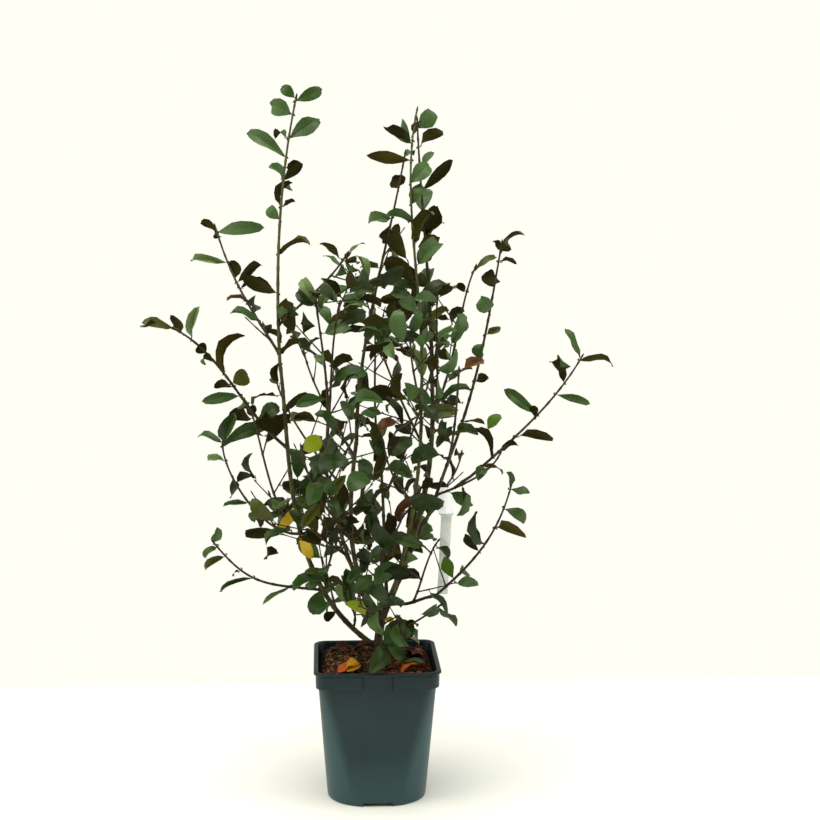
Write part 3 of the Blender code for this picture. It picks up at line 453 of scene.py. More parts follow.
def label_plate():
    """The label's head and the strip that hangs from it."""
    left, right, low, high = LABEL_HEAD
    middle, end = LABEL_STRIP_END
    half = LABEL_STRIP_WIDTH / 2
    top = (left + right) / 2
    outline = [(left, high - 0.3), (left + 0.1, low), (top - half, low), (middle - half, end),
               (middle + half, end), (top + half, low), (right, low + 0.3), (right - 0.1, high)]
    corners, faces = loft([[Vector((x, y, z)) for x, z in outline]
                           for y in (LABEL_FRONT, LABEL_FRONT + LABEL_THICK)], ends=False)
    return corners, faces + [(7, 6, 5, 2, 1, 0), (5, 4, 3, 2), (8, 9, 10, 13, 14, 15),
                             (10, 11, 12, 13)]


print("corners of the label's stand-in", len(label_plate()[0]))

# %% [markdown]
# No stand-in grows through another. Each is remembered with its box and a search tree,
# and a new one is kept only where it touches nothing that is already there.

# %% Room for growth
def box_of(corners):
    """The least and the most of x, y and z."""
    return [[end(c[k] for c in corners) for k in range(3)] for end in (min, max)]


class Space:
    """Remembers every piece already placed, so that the next keeps clear of it."""

    def __init__(self):
        self.items = []

    def add(self, owner, mesh):
        self.items.append((owner, *box_of(mesh[0]), BVHTree.FromPolygons(*mesh)))

    def meets(self, mesh, owners=None, but=()):
        """Whether a mesh touches anything placed, of some owners or of all but some."""
        low, high = box_of(mesh[0])
        tree = None
        for owner, least, most, other in self.items:
            if owner in but or (owners is not None and owner not in owners):
                continue
            if any(low[k] > most[k] or high[k] < least[k] for k in range(3)):
                continue
            tree = tree or BVHTree.FromPolygons(*mesh)
            if tree.overlap(other):
                return True
        return False


space = Space()
print("pieces in place so far", len(space.items))

# %% [markdown]
# Now the plant is laid out limb by limb and flush by flush, oldest first, the way a
# shrub fills its own space.

# %% Laying out the plant
def comes_clear(name, parts, tried, buried, room, otherwise):
    """The first share at which a limb stands clear of the limb that bears it."""
    parent = LIMBS[name][0]
    spots = [(limb_point(parent, k / 60), limb_radius(parent, k / 60)) for k in range(61)]
    for t in (k / parts for k in range(tried)):
        point = limb_point(name, t)
        if min((point - spot).length - radius * buried for spot, radius in spots) > room(t):
            return t
    return otherwise


@cache
def limb_start(name):
    """The share at which a limb's own solid starts."""
    parent, share = LIMBS[name][:2]
    if parent is None or (MASS_OF.get(parent, parent) == MASS_OF.get(name, name)
                          and parent not in BOUGHS):
        return 0.0
    if share >= 1.0:
        return 1.1 * GAP / CM / limb_length(name)
    return max(0.0, comes_clear(name, 150, 60, 0.8, lambda t: 0.0, 0.2) - 0.005)


def stands_clear_at(name):
    """The share from which a shoot has room for leaves beside the limb that bears it."""
    if LIMBS[name][1] >= 1.0:
        return 0.04
    return comes_clear(name, 160, 80, 1.0, lambda t: limb_radius(name, t) + 0.25, 0.5)


def solid_limb(name):
    """The tube that a limb's solid is made from."""
    if name == "trunk":
        return trunk_mesh()
    steps, sides = (BOUGH_STEPS, BOUGH_SIDES) if name in BOUGHS else (tube_steps(name), 3)
    return limb_mesh(name, limb_start(name), steps, sides)


def place_flush(shoot, flush, seed, twigginess):
    """Keeps what one flush grew as far as there is room; returns twigs and leaves."""
    shares = flush_shares(shoot)
    first, last = shares[flush]
    first = max(first, stands_clear_at(shoot))
    leaves, twigs = grow_flush(seed, shoot, first, last, twigginess, flush == len(shares) - 1)
    spare = GAP / CM * 1.3
    kept_leaves, kept_twigs = [], []
    for leaf in leaves:
        if not space.meets(leaf_mesh(leaf, spare), but=(shoot,)):
            space.add("leaf", leaf_mesh(leaf))
            kept_leaves.append(leaf)
    for twig in twigs:
        if space.meets(twig_mesh(twig, spare), but=(shoot,)):
            continue
        free = [leaf for leaf in twig["leaves"] if not space.meets(leaf_mesh(leaf, spare))]
        if not free:
            continue
        space.add("twig", twig_mesh(twig))
        chosen = []
        for leaf in free:
            if not space.meets(leaf_mesh(leaf, spare), owners=("leaf",)):
                space.add("leaf", leaf_mesh(leaf))
                chosen.append(leaf)
        kept_twigs.append({"path": twig["path"], "leaves": chosen})
    return kept_leaves, kept_twigs


def lay_out():
    """Every leaf and twig of the plant, shoot by shoot, those on shoots before the rest."""
    for name in LIMBS:
        space.add(name, solid_limb(name))
    space.add("label", label_plate())
    space.add("label", tube_mesh(loop_ends(), (LOOP_OUTER, LOOP_OUTER), 8))
    all_leaves, all_twigs = [], []
    for shoot, (twigginess, seeds) in SHOOTS.items():
        for flush in range(len(flush_shares(shoot))):
            seed = seeds[flush] if flush < len(seeds) else flush + 1
            leaves, twigs = place_flush(shoot, flush, seed, twigginess)
            for grown in leaves + twigs + [leaf for twig in twigs for leaf in twig["leaves"]]:
                grown["shoot"] = shoot
            all_leaves += leaves
            all_twigs += twigs
    return all_leaves + [leaf for twig in all_twigs for leaf in twig["leaves"]], all_twigs


all_leaves, all_twigs = lay_out()
mass_nodes = [name + "_leaves" for name in masses]
print("leaves", len(all_leaves), "twigs", len(all_twigs))

# %% [markdown]
# Real surfaces are never one flat value. Every finish here is a Principled shader with
# a fine grain in its bump and its roughness, read from Object coordinates so that it
# stays on the piece. Bark, plastic and soil also drift between two colours. Leaves keep
# one plain colour each, because a leaf differs from its neighbour and not within itself.
# Small helpers come first: they add a node and give each of its inputs a value or a link.

# %% Helpers for finishes
def paint(red, green, blue):
    """A colour given from 0 to 255, as the linear values that a shader takes."""
    return tuple(c / 3294.6 if c <= 10 else ((c / 255 + 0.055) / 1.055) ** 2.4
                 for c in (red, green, blue)) + (1.0,)


def feed(tree, node, values):
    """Gives inputs of a node, by name or number, a value or a link from another node."""
    for socket, value in values.items():
        if isinstance(value, bpy.types.Node):
            value = value.outputs[0]
        if isinstance(value, bpy.types.NodeSocket):
            tree.links.new(value, node.inputs[socket])
        else:
            node.inputs[socket].default_value = value
    return node


def add_node(tree, kind, values=(), **settings):
    """A new node with its settings, fed with its values."""
    node = tree.nodes.new(kind)
    for name, value in settings.items():
        setattr(node, name, value)
    return feed(tree, node, dict(values))


def maths(tree, operation, *values):
    return add_node(tree, "ShaderNodeMath", enumerate(values), operation=operation)


def in_range(tree, value, given, wanted, **settings):
    """Takes a value from one range to another and keeps it inside."""
    return add_node(tree, "ShaderNodeMapRange", {
        "Value": value, "From Min": given[0], "From Max": given[1],
        "To Min": wanted[0], "To Max": wanted[1]}, **settings)


def mix_colours(tree, share, first, second):
    return add_node(tree, "ShaderNodeMix", {0: share, 6: first, 7: second},
                    data_type="RGBA").outputs[2]


def finish(name, colour, roughness, swing=0.08, grain=900.0, relief=0.15, second=None,
           patch=60.0, edge=(0.4, 0.6), gloss=0.2):
    """A finish with a grain, and with patches of a second colour where one is given."""
    material = bpy.data.materials.new(name)
    material.use_nodes = True
    tree = material.node_tree
    shader = tree.nodes["Principled BSDF"]
    place = add_node(tree, "ShaderNodeTexCoord").outputs["Object"]
    fine = add_node(tree, "ShaderNodeTexNoise", {"Scale": grain, "Detail": 3.0, "Vector": place})
    bump = add_node(tree, "ShaderNodeBump", {"Strength": relief, "Distance": 0.001,
                                             "Height": fine})
    feed(tree, shader, {
        "Base Color": colour, "Specular IOR Level": gloss, "Normal": bump,
        "Roughness": in_range(tree, fine, (0.3, 0.7), (roughness - swing, roughness + swing))})
    if second:
        patches = add_node(tree, "ShaderNodeTexNoise", {"Scale": patch, "Detail": 4.0,
                                                        "Vector": place})
        ramp = add_node(tree, "ShaderNodeValToRGB", {"Fac": patches})
        for stop, position, shade in zip(ramp.color_ramp.elements, edge, (colour, second)):
            stop.position, stop.color = position, shade
        feed(tree, shader, {"Base Color": ramp})
    return material


print("a mid green in linear values", [round(c, 3) for c in paint(72, 98, 68)])

# %% [markdown]
# Stems, twigs and leaf stalks are all tubes along a path, and leaves, buds and bark
# chips are all small shapes set on points. Geometry Nodes do both: one tree sweeps a
# round section along paths and roughens it, the other sets shapes on points with a turn
# and a size. These helpers start a tree, give a modifier its inputs by the socket's own
# identifier, and turn the result into a plain mesh.

# %% Helpers for Geometry Nodes
def new_tree(name, inputs):
    tree = bpy.data.node_groups.new(name, "GeometryNodeTree")
    tree.interface.new_socket("Geometry", in_out="INPUT", socket_type="NodeSocketGeometry")
    for label, kind in inputs:
        tree.interface.new_socket(label, in_out="INPUT", socket_type="NodeSocket" + kind)
    tree.interface.new_socket("Geometry", in_out="OUTPUT", socket_type="NodeSocketGeometry")
    return tree, tree.nodes.new("NodeGroupInput"), tree.nodes.new("NodeGroupOutput")


def stored(tree, name, kind):
    """The output of a node that reads a named attribute."""
    node = add_node(tree, "GeometryNodeInputNamedAttribute", {"Name": name}, data_type=kind)
    return next(out for out in node.outputs if out.enabled and out.name == "Attribute")


def through_tree(carrier, tree, values, name):
    """The plain mesh object that a tree makes of a carrier, which is then removed."""
    modifier = carrier.modifiers.new("grow", "NODES")
    modifier.node_group = tree
    for item in tree.interface.items_tree:
        if item.in_out == "INPUT" and item.name in values:
            modifier[item.identifier] = values[item.name]
    depsgraph = bpy.context.evaluated_depsgraph_get()
    mesh = bpy.data.meshes.new_from_object(carrier.evaluated_get(depsgraph),
                                           preserve_all_data_layers=True, depsgraph=depsgraph)
    bpy.data.objects.remove(carrier)
    while mesh.materials and mesh.materials[0] is None:     # the shapes' own empty slot
        mesh.materials.pop(index=0)
    mesh.name = name
    return show(name, mesh)


def new_mesh(name, corners, edges, faces):
    mesh = bpy.data.meshes.new(name)
    mesh.from_pydata([tuple(c) for c in corners], edges, faces)
    return mesh


def carrier_mesh(name, corners, edges, values):
    """Points and edges in metres, with named attributes for a tree to read."""
    mesh = new_mesh(name, [c * CM for c in corners], edges, [])
    for label, (kind, field, flat) in values.items():
        mesh.attributes.new(label, kind, "POINT").data.foreach_set(field, flat)
    return show(name, mesh)


def settle(piece, nodes):
    """A finished piece rides on the root, stands for its nodes and names its slot."""
    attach(piece, "root")
    if nodes:
        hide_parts(*nodes)
    piece.data.calc_loop_triangles()
    print(piece.name, len(piece.data.loop_triangles), "triangles",
          [slot.name if slot else None for slot in piece.data.materials])
    return piece

# %% [markdown]
# The stem tree: a path becomes a curve, a round section is swept along it and scaled
# by the girth that each point stores, and a noise stretched along the height pushes the
# skin in and out. That gives bark its shallow ridges without any extra modelling.

# %% The stem tree
def make_stem_tree():
    tree, given, result = new_tree("stem", [("Sides", "Int"), ("Relief", "Float"),
                                            ("Ridges", "Float"), ("Bark", "Material")])
    given = given.outputs
    sweep = add_node(tree, "GeometryNodeCurveToMesh", {
        "Curve": add_node(tree, "GeometryNodeMeshToCurve", {0: given["Geometry"]}),
        "Profile Curve": add_node(tree, "GeometryNodeCurvePrimitiveCircle",
                                  {"Radius": 1.0, "Resolution": given["Sides"]}),
        "Scale": stored(tree, "girth", "FLOAT"), "Fill Caps": True})
    stretch = add_node(tree, "ShaderNodeVectorMath", {
        0: add_node(tree, "GeometryNodeInputPosition"), 1: (1.0, 1.0, 0.3)},
        operation="MULTIPLY")
    ridges = add_node(tree, "ShaderNodeTexNoise", {"Vector": stretch, "Scale": given["Ridges"]})
    depth = maths(tree, "MULTIPLY", maths(tree, "SUBTRACT", ridges, 0.5), given["Relief"])
    push = add_node(tree, "ShaderNodeVectorMath", {
        0: add_node(tree, "GeometryNodeInputNormal"), "Scale": depth}, operation="SCALE")
    move = add_node(tree, "GeometryNodeSetPosition", {"Geometry": sweep, "Offset": push})
    smooth = add_node(tree, "GeometryNodeSetShadeSmooth", {"Geometry": move})
    real = add_node(tree, "GeometryNodeRealizeInstances", {"Geometry": smooth})
    cover = add_node(tree, "GeometryNodeSetMaterial", {"Geometry": real,
                                                       "Material": given["Bark"]})
    feed(tree, result, {"Geometry": cover})
    return tree


stem_tree = make_stem_tree()
print("nodes in the stem tree", len(stem_tree.nodes))


def sweep_paths(name, paths, sides, relief, ridges, bark):
    """One piece of tubes along paths, each a list of points and their girths in cm."""
    corners, edges, girths = [], [], []
    for path in paths:
        first = len(corners)
        corners += [spot for spot, _ in path]
        girths += [girth * CM for _, girth in path]
        edges += [(k, k + 1) for k in range(first, len(corners) - 1)]
    carrier = carrier_mesh(name, corners, edges, {"girth": ("FLOAT", "value", girths)})
    return through_tree(carrier, stem_tree, {"Sides": sides, "Relief": relief * CM,
                                             "Ridges": ridges, "Bark": bark}, name)

# %% [markdown]
# The setting tree: a shape is picked for each point, turned and scaled by what the
# point stores, and made real. Faces marked as upper take one finish and the rest take
# the other, so that one tree serves glossy leaves with dull undersides, and buds and
# chips too.

# %% The setting tree
def make_setting_tree():
    tree, given, result = new_tree("set_on_points", [
        ("Shapes", "Collection"), ("Upper finish", "Material"), ("Under finish", "Material")])
    given = given.outputs
    shapes = add_node(tree, "GeometryNodeCollectionInfo", {
        "Collection": given["Shapes"], "Separate Children": True, "Reset Children": True})
    turn = add_node(tree, "FunctionNodeEulerToRotation",
                    {0: stored(tree, "turn", "FLOAT_VECTOR")})
    setting = add_node(tree, "GeometryNodeInstanceOnPoints", {
        "Points": given["Geometry"], "Instance": shapes, "Pick Instance": True,
        "Instance Index": stored(tree, "shape", "INT"), "Rotation": turn,
        "Scale": stored(tree, "size", "FLOAT_VECTOR")})
    real = add_node(tree, "GeometryNodeRealizeInstances", {"Geometry": setting})
    upper = stored(tree, "upper", "BOOLEAN")
    top = add_node(tree, "GeometryNodeSetMaterial", {
        "Geometry": real, "Selection": upper, "Material": given["Upper finish"]})
    others = add_node(tree, "FunctionNodeBooleanMath", {0: upper}, operation="NOT")
    under = add_node(tree, "GeometryNodeSetMaterial", {
        "Geometry": top, "Selection": others, "Material": given["Under finish"]})
    feed(tree, result, {"Geometry": under})
    return tree


setting_tree = make_setting_tree()
print("nodes in the setting tree", len(setting_tree.nodes))


def set_shapes(name, spots, shapes, upper, under):
    """One piece of shapes on spots: place, turn, size in cm along x, y and z, shape."""
    corners = [place for place, _, _, _ in spots]
    turns = [angle for _, turn, _, _ in spots for angle in turn.to_euler()]
    sizes = [side * CM for _, _, size, _ in spots for side in size]
    picks = [pick for _, _, _, pick in spots]
    carrier = carrier_mesh(name, corners, [], {
        "turn": ("FLOAT_VECTOR", "vector", turns), "size": ("FLOAT_VECTOR", "vector", sizes),
        "shape": ("INT", "value", picks)})
    return through_tree(carrier, setting_tree, {
        "Shapes": shapes, "Upper finish": upper, "Under finish": under}, name)


def facing(along, face):
    """The turn that lays x along one direction and z on the side of another."""
    x = along.normalized()
    y = face.cross(x).normalized()
    return Matrix((x, y, x.cross(y))).transposed()


def add_shape(shapes, name, corners, faces, upper=None):
    """Keeps one small shape for setting; upper tells which faces are the upper ones."""
    mesh = new_mesh(name, corners, [], faces)
    mesh.shade_smooth()
    flags = upper or [True] * len(faces)
    mesh.attributes.new("upper", "BOOLEAN", "FACE").data.foreach_set("value", flags)
    shapes.objects.link(bpy.data.objects.new(name, mesh))
    return mesh


def new_shapes(name):
    shapes = bpy.data.collections.new(name)
    scene.collection.children.link(shapes)
    return shapes


def clear_shapes(shapes):
    for obj in list(shapes.objects):
        bpy.data.objects.remove(obj)
    bpy.data.collections.remove(shapes)

# %% [markdown]
# Bark. Young magnolia shoots are dark brown and slightly glossy, the older stems are
# olive green with grey-brown patches, and the foot of the trunk is greyer and rougher.

# %% Bark finishes
barks = {name: finish("bark_" + name, paint(*colour), roughness, grain=grain, relief=relief,
                      second=paint(*second), patch=patch, edge=edge)
         for name, colour, second, roughness, grain, relief, patch, edge in (
             ("old", (50, 42, 26), (82, 76, 50), 0.78, 700, 0.5, 90, (0.4, 0.6)),
             ("dark", (40, 32, 18), (66, 56, 34), 0.62, 900, 0.35, 120, (0.4, 0.6)),
             ("olive", (84, 88, 46), (58, 54, 30), 0.58, 900, 0.3, 70, (0.45, 0.7)),
             ("mixed", (42, 34, 18), (76, 78, 40), 0.62, 900, 0.35, 50, (0.42, 0.62)),
             ("twig", (34, 27, 16), (56, 48, 26), 0.55, 1100, 0.25, 160, (0.4, 0.6)))}
print("barks", list(barks))

# %% [markdown]
# Every limb is swept along its own curve. Where a leaf or twig grows, a stem is a
# little thicker, and old stems keep such knots where leaves have fallen. The girth of
# each point is worked out here, and the stem tree does the rest.

# %% Limbs with knots
roots = [leaf["root"] for leaf in all_leaves] + [twig["path"][0] for twig in all_twigs]
knots = kdtree.KDTree(len(roots))
for k, root in enumerate(roots):
    knots.insert(root, k)
knots.balance()


def limb_path(name):
    """Points along a limb every 3 mm and the girth at each."""
    dice = random.Random(name)
    parent, share = LIMBS[name][:2]
    length = limb_length(name)
    old = []
    if name in BOUGHS or name == "trunk":
        reach = dice.uniform(1.0, 3.0)
        while reach < length:
            old.append(reach / length)
            reach += dice.uniform(2.2, 3.8)
    steps = max(6, round(length / 0.3))
    path = []
    for k in range(steps + 1):
        t = k / steps
        spot = limb_point(name, t)
        girth = limb_radius(name, t)
        if name == "trunk":
            girth += 0.22 * math.exp(-6.0 * t)
        elif share < 1.0:
            girth += 0.10 * math.exp(-t * length / 0.5)
        for knot in old:
            girth += 0.05 * math.exp(-((t - knot) * length / 0.22) ** 2)
        near = knots.find(spot)[2]
        girth += 0.045 * math.exp(-(near / 0.26) ** 2)
        if name not in BOUGHS and name != "trunk" and (1 - t) * length < 0.3:
            girth *= 0.8
        path.append((spot, girth))
    if name == "trunk":
        path[0] = (path[0][0] - Vector((0, 0, 0.35)), path[0][1])
    elif share >= 1.0:
        path.insert(0, (limb_point(parent, 1 - 0.3 / limb_length(parent)), path[0][1] * 0.96))
    return path


settle(sweep_paths("trunk_bark", [limb_path("trunk")], 24, 0.14, 260.0, barks["old"]),
       ["trunk"])
bough_barks = {"left": "mixed", "tall": "olive", "main": "mixed", "right": "mixed",
               "far_right": "dark", "low_right": "dark"}
for bough in BOUGHS:
    settle(sweep_paths(bough + "_bough_bark", [limb_path(bough)], 12, 0.06, 420.0,
                       barks[bough_barks.get(bough, "old")]), [bough + "_bough"])

shoots = [name for name in LIMBS if name not in BOUGHS and name != "trunk"]
greens = ("left_top", "tall_top")
for name, bark, chosen, nodes in (
        ("green_shoots", "olive", [n for n in shoots if n in greens],
         [n + "_leaves" for n in greens]),
        ("brown_shoots", "dark", [n for n in shoots if n not in greens], mass_nodes)):
    settle(sweep_paths(name, [limb_path(n) for n in chosen], 8, 0.04, 500.0, barks[bark]),
           nodes)

# %% [markdown]
# A magnolia leaf is an oval blade on a stalk of about half a centimetre. The blade is
# folded a little along its midrib, arches, and often curls at the tip. Fourteen shapes,
# each one closed skin of a few dozen faces with an upper and an under side, are enough:
# turned and sized differently, no two look alike.

# %% Leaf shapes
BLADE_STATIONS = (0.0, 0.07, 0.2, 0.38, 0.56, 0.74, 0.89, 1.0)
BLADE_COLUMNS = (-1.0, -0.5, 0.0, 0.5, 1.0)
BLADE_RATIO = 0.45
LEAF_SHAPES = 14


def blade_line(rise, fall, power):
    """Points and headings along a midrib, with its two ends level."""
    spots, headings, spot, steps = [], [], Vector((0, 0, 0)), 56
    for k in range(steps + 1):
        s = k / steps
        heading = rise - (rise + fall) * s ** power
        if any(abs(s - station) < 0.5 / steps for station in BLADE_STATIONS):
            spots.append(spot.copy())
            headings.append(heading)
        spot += Vector((math.cos(heading), 0, math.sin(heading))) / steps
    level = math.atan2(spots[-1].z, spots[-1].x)
    turn = Matrix.Rotation(level, 3, "Y")
    return [turn @ spot for spot in spots], [heading - level for heading in headings]


def blade_mesh(shapes, k):
    dice = random.Random(300 + k)
    widest, fullness = dice.uniform(0.9, 1.35), dice.uniform(0.5, 0.85)
    spots, headings = blade_line(dice.uniform(0.1, 0.9), dice.uniform(0.2, 2.1),
                                 dice.uniform(0.9, 3.4))
    fold, cup = dice.uniform(0.1, 0.9), dice.uniform(-0.15, 0.3)
    twist, phase = dice.uniform(-1.4, 1.4), dice.uniform(0, 6.28)
    wave, waves = dice.uniform(0.01, 0.06), dice.uniform(1.2, 2.6)
    corners, rows, under_rows = [], [], []
    for n, s in enumerate(BLADE_STATIONS):
        half = BLADE_RATIO / 2 * max(math.sin(math.pi * min(s, 0.999) ** widest) ** fullness,
                                     0.05 if s < 0.5 else 0.015)
        along = Vector((math.cos(headings[n]), 0, math.sin(headings[n])))
        up = Vector((-along.z, 0, along.x))
        lean = Matrix.Rotation(twist * (s - 0.3), 3, along)
        rows.append(len(corners))
        for c in BLADE_COLUMNS:
            lift = (abs(c) * math.sin(fold) - cup * c * c) * half
            lift += wave * abs(c) * math.sin(waves * math.tau * s + phase + (1.9 if c > 0 else 0))
            corners.append(spots[n] + lean @ (Vector((0, c * half * math.cos(fold), 0))
                                              + up * lift))
        under_rows.append(len(corners))
        if 0 < n < len(BLADE_STATIONS) - 1:
            for c, depth in ((-0.5, 0.006), (0.0, 0.022), (0.5, 0.006)):
                corners.append(corners[rows[n] + BLADE_COLUMNS.index(c)]
                               - lean @ up * depth * (1.0 - 0.6 * s))

    def under(n, c):
        if 0 < n < len(BLADE_STATIONS) - 1 and 0 < c < 4:
            return under_rows[n] + c - 1
        return rows[n] + c

    faces, upper, patches = [], [], []
    for n in range(len(BLADE_STATIONS) - 1):
        for c in range(4):
            faces.append((rows[n] + c, rows[n + 1] + c, rows[n + 1] + c + 1, rows[n] + c + 1))
            upper.append(True)
            patches.append(((n, c), (n + 1, c), (n + 1, c + 1), (n, c + 1)))
            faces.append((under(n, c), under(n, c + 1), under(n + 1, c + 1), under(n + 1, c)))
            upper.append(False)
            patches.append(((n, c), (n, c + 1), (n + 1, c + 1), (n + 1, c)))
    # y grows to the left of x, so the first winding looks down; turn both round
    faces = [face[::-1] for face in faces]
    patches = [patch[::-1] for patch in patches]
    mesh = add_shape(shapes, "leaf_%02d" % k, corners, faces, upper)
    grid = mesh.uv_layers.new(name="UVMap").data
    flat = [v for patch in patches for n, c in patch for v in (BLADE_STATIONS[n], c / 4)]
    grid.foreach_set("uv", flat)
    sharp = mesh.attributes.new("sharp_edge", "BOOLEAN", "EDGE")
    rim = {row + c for row in rows for c in (0, 4)}
    rib = {row + 2 for row in rows}
    for edge in mesh.edges:
        ends = set(edge.vertices)
        sharp.data[edge.index].value = ends <= rim or ends <= rib
    return mesh


leaf_shapes = new_shapes("leaf_shapes")
for k in range(LEAF_SHAPES):
    blade_mesh(leaf_shapes, k)

# %% [markdown]
# A leaf's finish has side veins as a faint relief across the blade, read from the
# leaf's own UV map, and a fine grain in its gloss. The colour itself is plain.

# %% Leaf finishes
def leaf_finish(name, colour, roughness, relief, gloss=0.07):
    material = finish(name, colour, roughness, swing=0.05, grain=400, relief=0.05,
                      gloss=gloss)
    tree = material.node_tree
    place = add_node(tree, "ShaderNodeUVMap", uv_map="UVMap")
    parts = add_node(tree, "ShaderNodeSeparateXYZ", {0: place}).outputs
    from_rib = maths(tree, "ABSOLUTE", maths(tree, "SUBTRACT", parts["Y"], 0.5))
    slant = maths(tree, "SUBTRACT", parts["X"], maths(tree, "MULTIPLY", from_rib, 0.55))
    wave = maths(tree, "SINE", maths(tree, "MULTIPLY", slant, 58.0))
    veins = maths(tree, "POWER", maths(tree, "ABSOLUTE", wave), 6.0)
    rib = add_node(tree, "ShaderNodeBump", {"Strength": relief, "Distance": 0.0006,
                                            "Height": veins})
    feed(tree, tree.nodes["Bump"], {"Normal": rib})
    return material


# kind: upper colour, under colour, how often it is dealt low down, in the middle, high up
LEAF_KINDS = {
    "deep": (paint(30, 43, 10), paint(37, 33, 5), (3, 5, 2.5)),
    "dark": (paint(38, 58, 17), paint(45, 42, 9), (4, 4, 3)),
    "mid": (paint(50, 75, 29), paint(41, 38, 7), (4, 3, 4)),
    "grey": (paint(68, 93, 50), paint(52, 50, 13), (1.5, 1, 4)),
    "pale": (paint(98, 118, 70), paint(76, 74, 26), (1, 0.3, 1.2)),
    "olive": (paint(62, 68, 13), paint(56, 49, 9), (1, 1.5, 1)),
    "fresh": (paint(72, 106, 22), paint(82, 98, 28), (0.5, 0.1, 0)),
    "yellow_green": (paint(128, 140, 20), paint(124, 128, 32), (0, 0, 0)),
    "yellow": (paint(190, 158, 34), paint(174, 144, 44), (0, 0, 0)),
    "rust": (paint(92, 56, 22), paint(76, 46, 16), (0, 0.1, 0.12)),
}
print("kinds of leaf", list(LEAF_KINDS))

# %% [markdown]
# The leaves are dealt to the kinds by dice: darker low down and in the middle, greyer
# towards the top. Two that have a colour of their own are put where this plant has
# them, each by the place of the leaf nearest to it.

# %% Dealing the leaves
TURNING = [((-8.5, 28.0), "fresh"), ((6.2, 30.7), "rust")]


def leaf_centre(leaf):
    return leaf["root"] + leaf["points"] * (LEAF_STALK + leaf["length"] / 2)


def deal_kinds():
    dice = random.Random(77)
    names = list(LEAF_KINDS)
    for leaf in all_leaves:
        centre = leaf_centre(leaf)
        zone = 0 if centre.z < 38 else 1 if centre.z < 62 else 2
        leaf["kind"] = dice.choices(names, [LEAF_KINDS[n][2][zone] for n in names])[0]
        leaf["shape"] = dice.randrange(LEAF_SHAPES)
    for (x, z), kind in TURNING:
        def far(leaf):
            centre = leaf_centre(leaf)
            return math.hypot(centre.x - x, centre.z - z) + 0.08 * centre.y
        min((leaf for leaf in all_leaves if not leaf.get("turning")), key=far).update(
            kind=kind, turning=True)


deal_kinds()
print({kind: sum(leaf["kind"] == kind for leaf in all_leaves) for kind in LEAF_KINDS})

# %% [markdown]
# The leaves of the outer shoots stand alone against the sky, so they are set one by one in
# place of the grown ones: the share of the shoot that bears each leaf, where its tip is
# from there, its width, its colour, and -1 where it turns its underside forward.

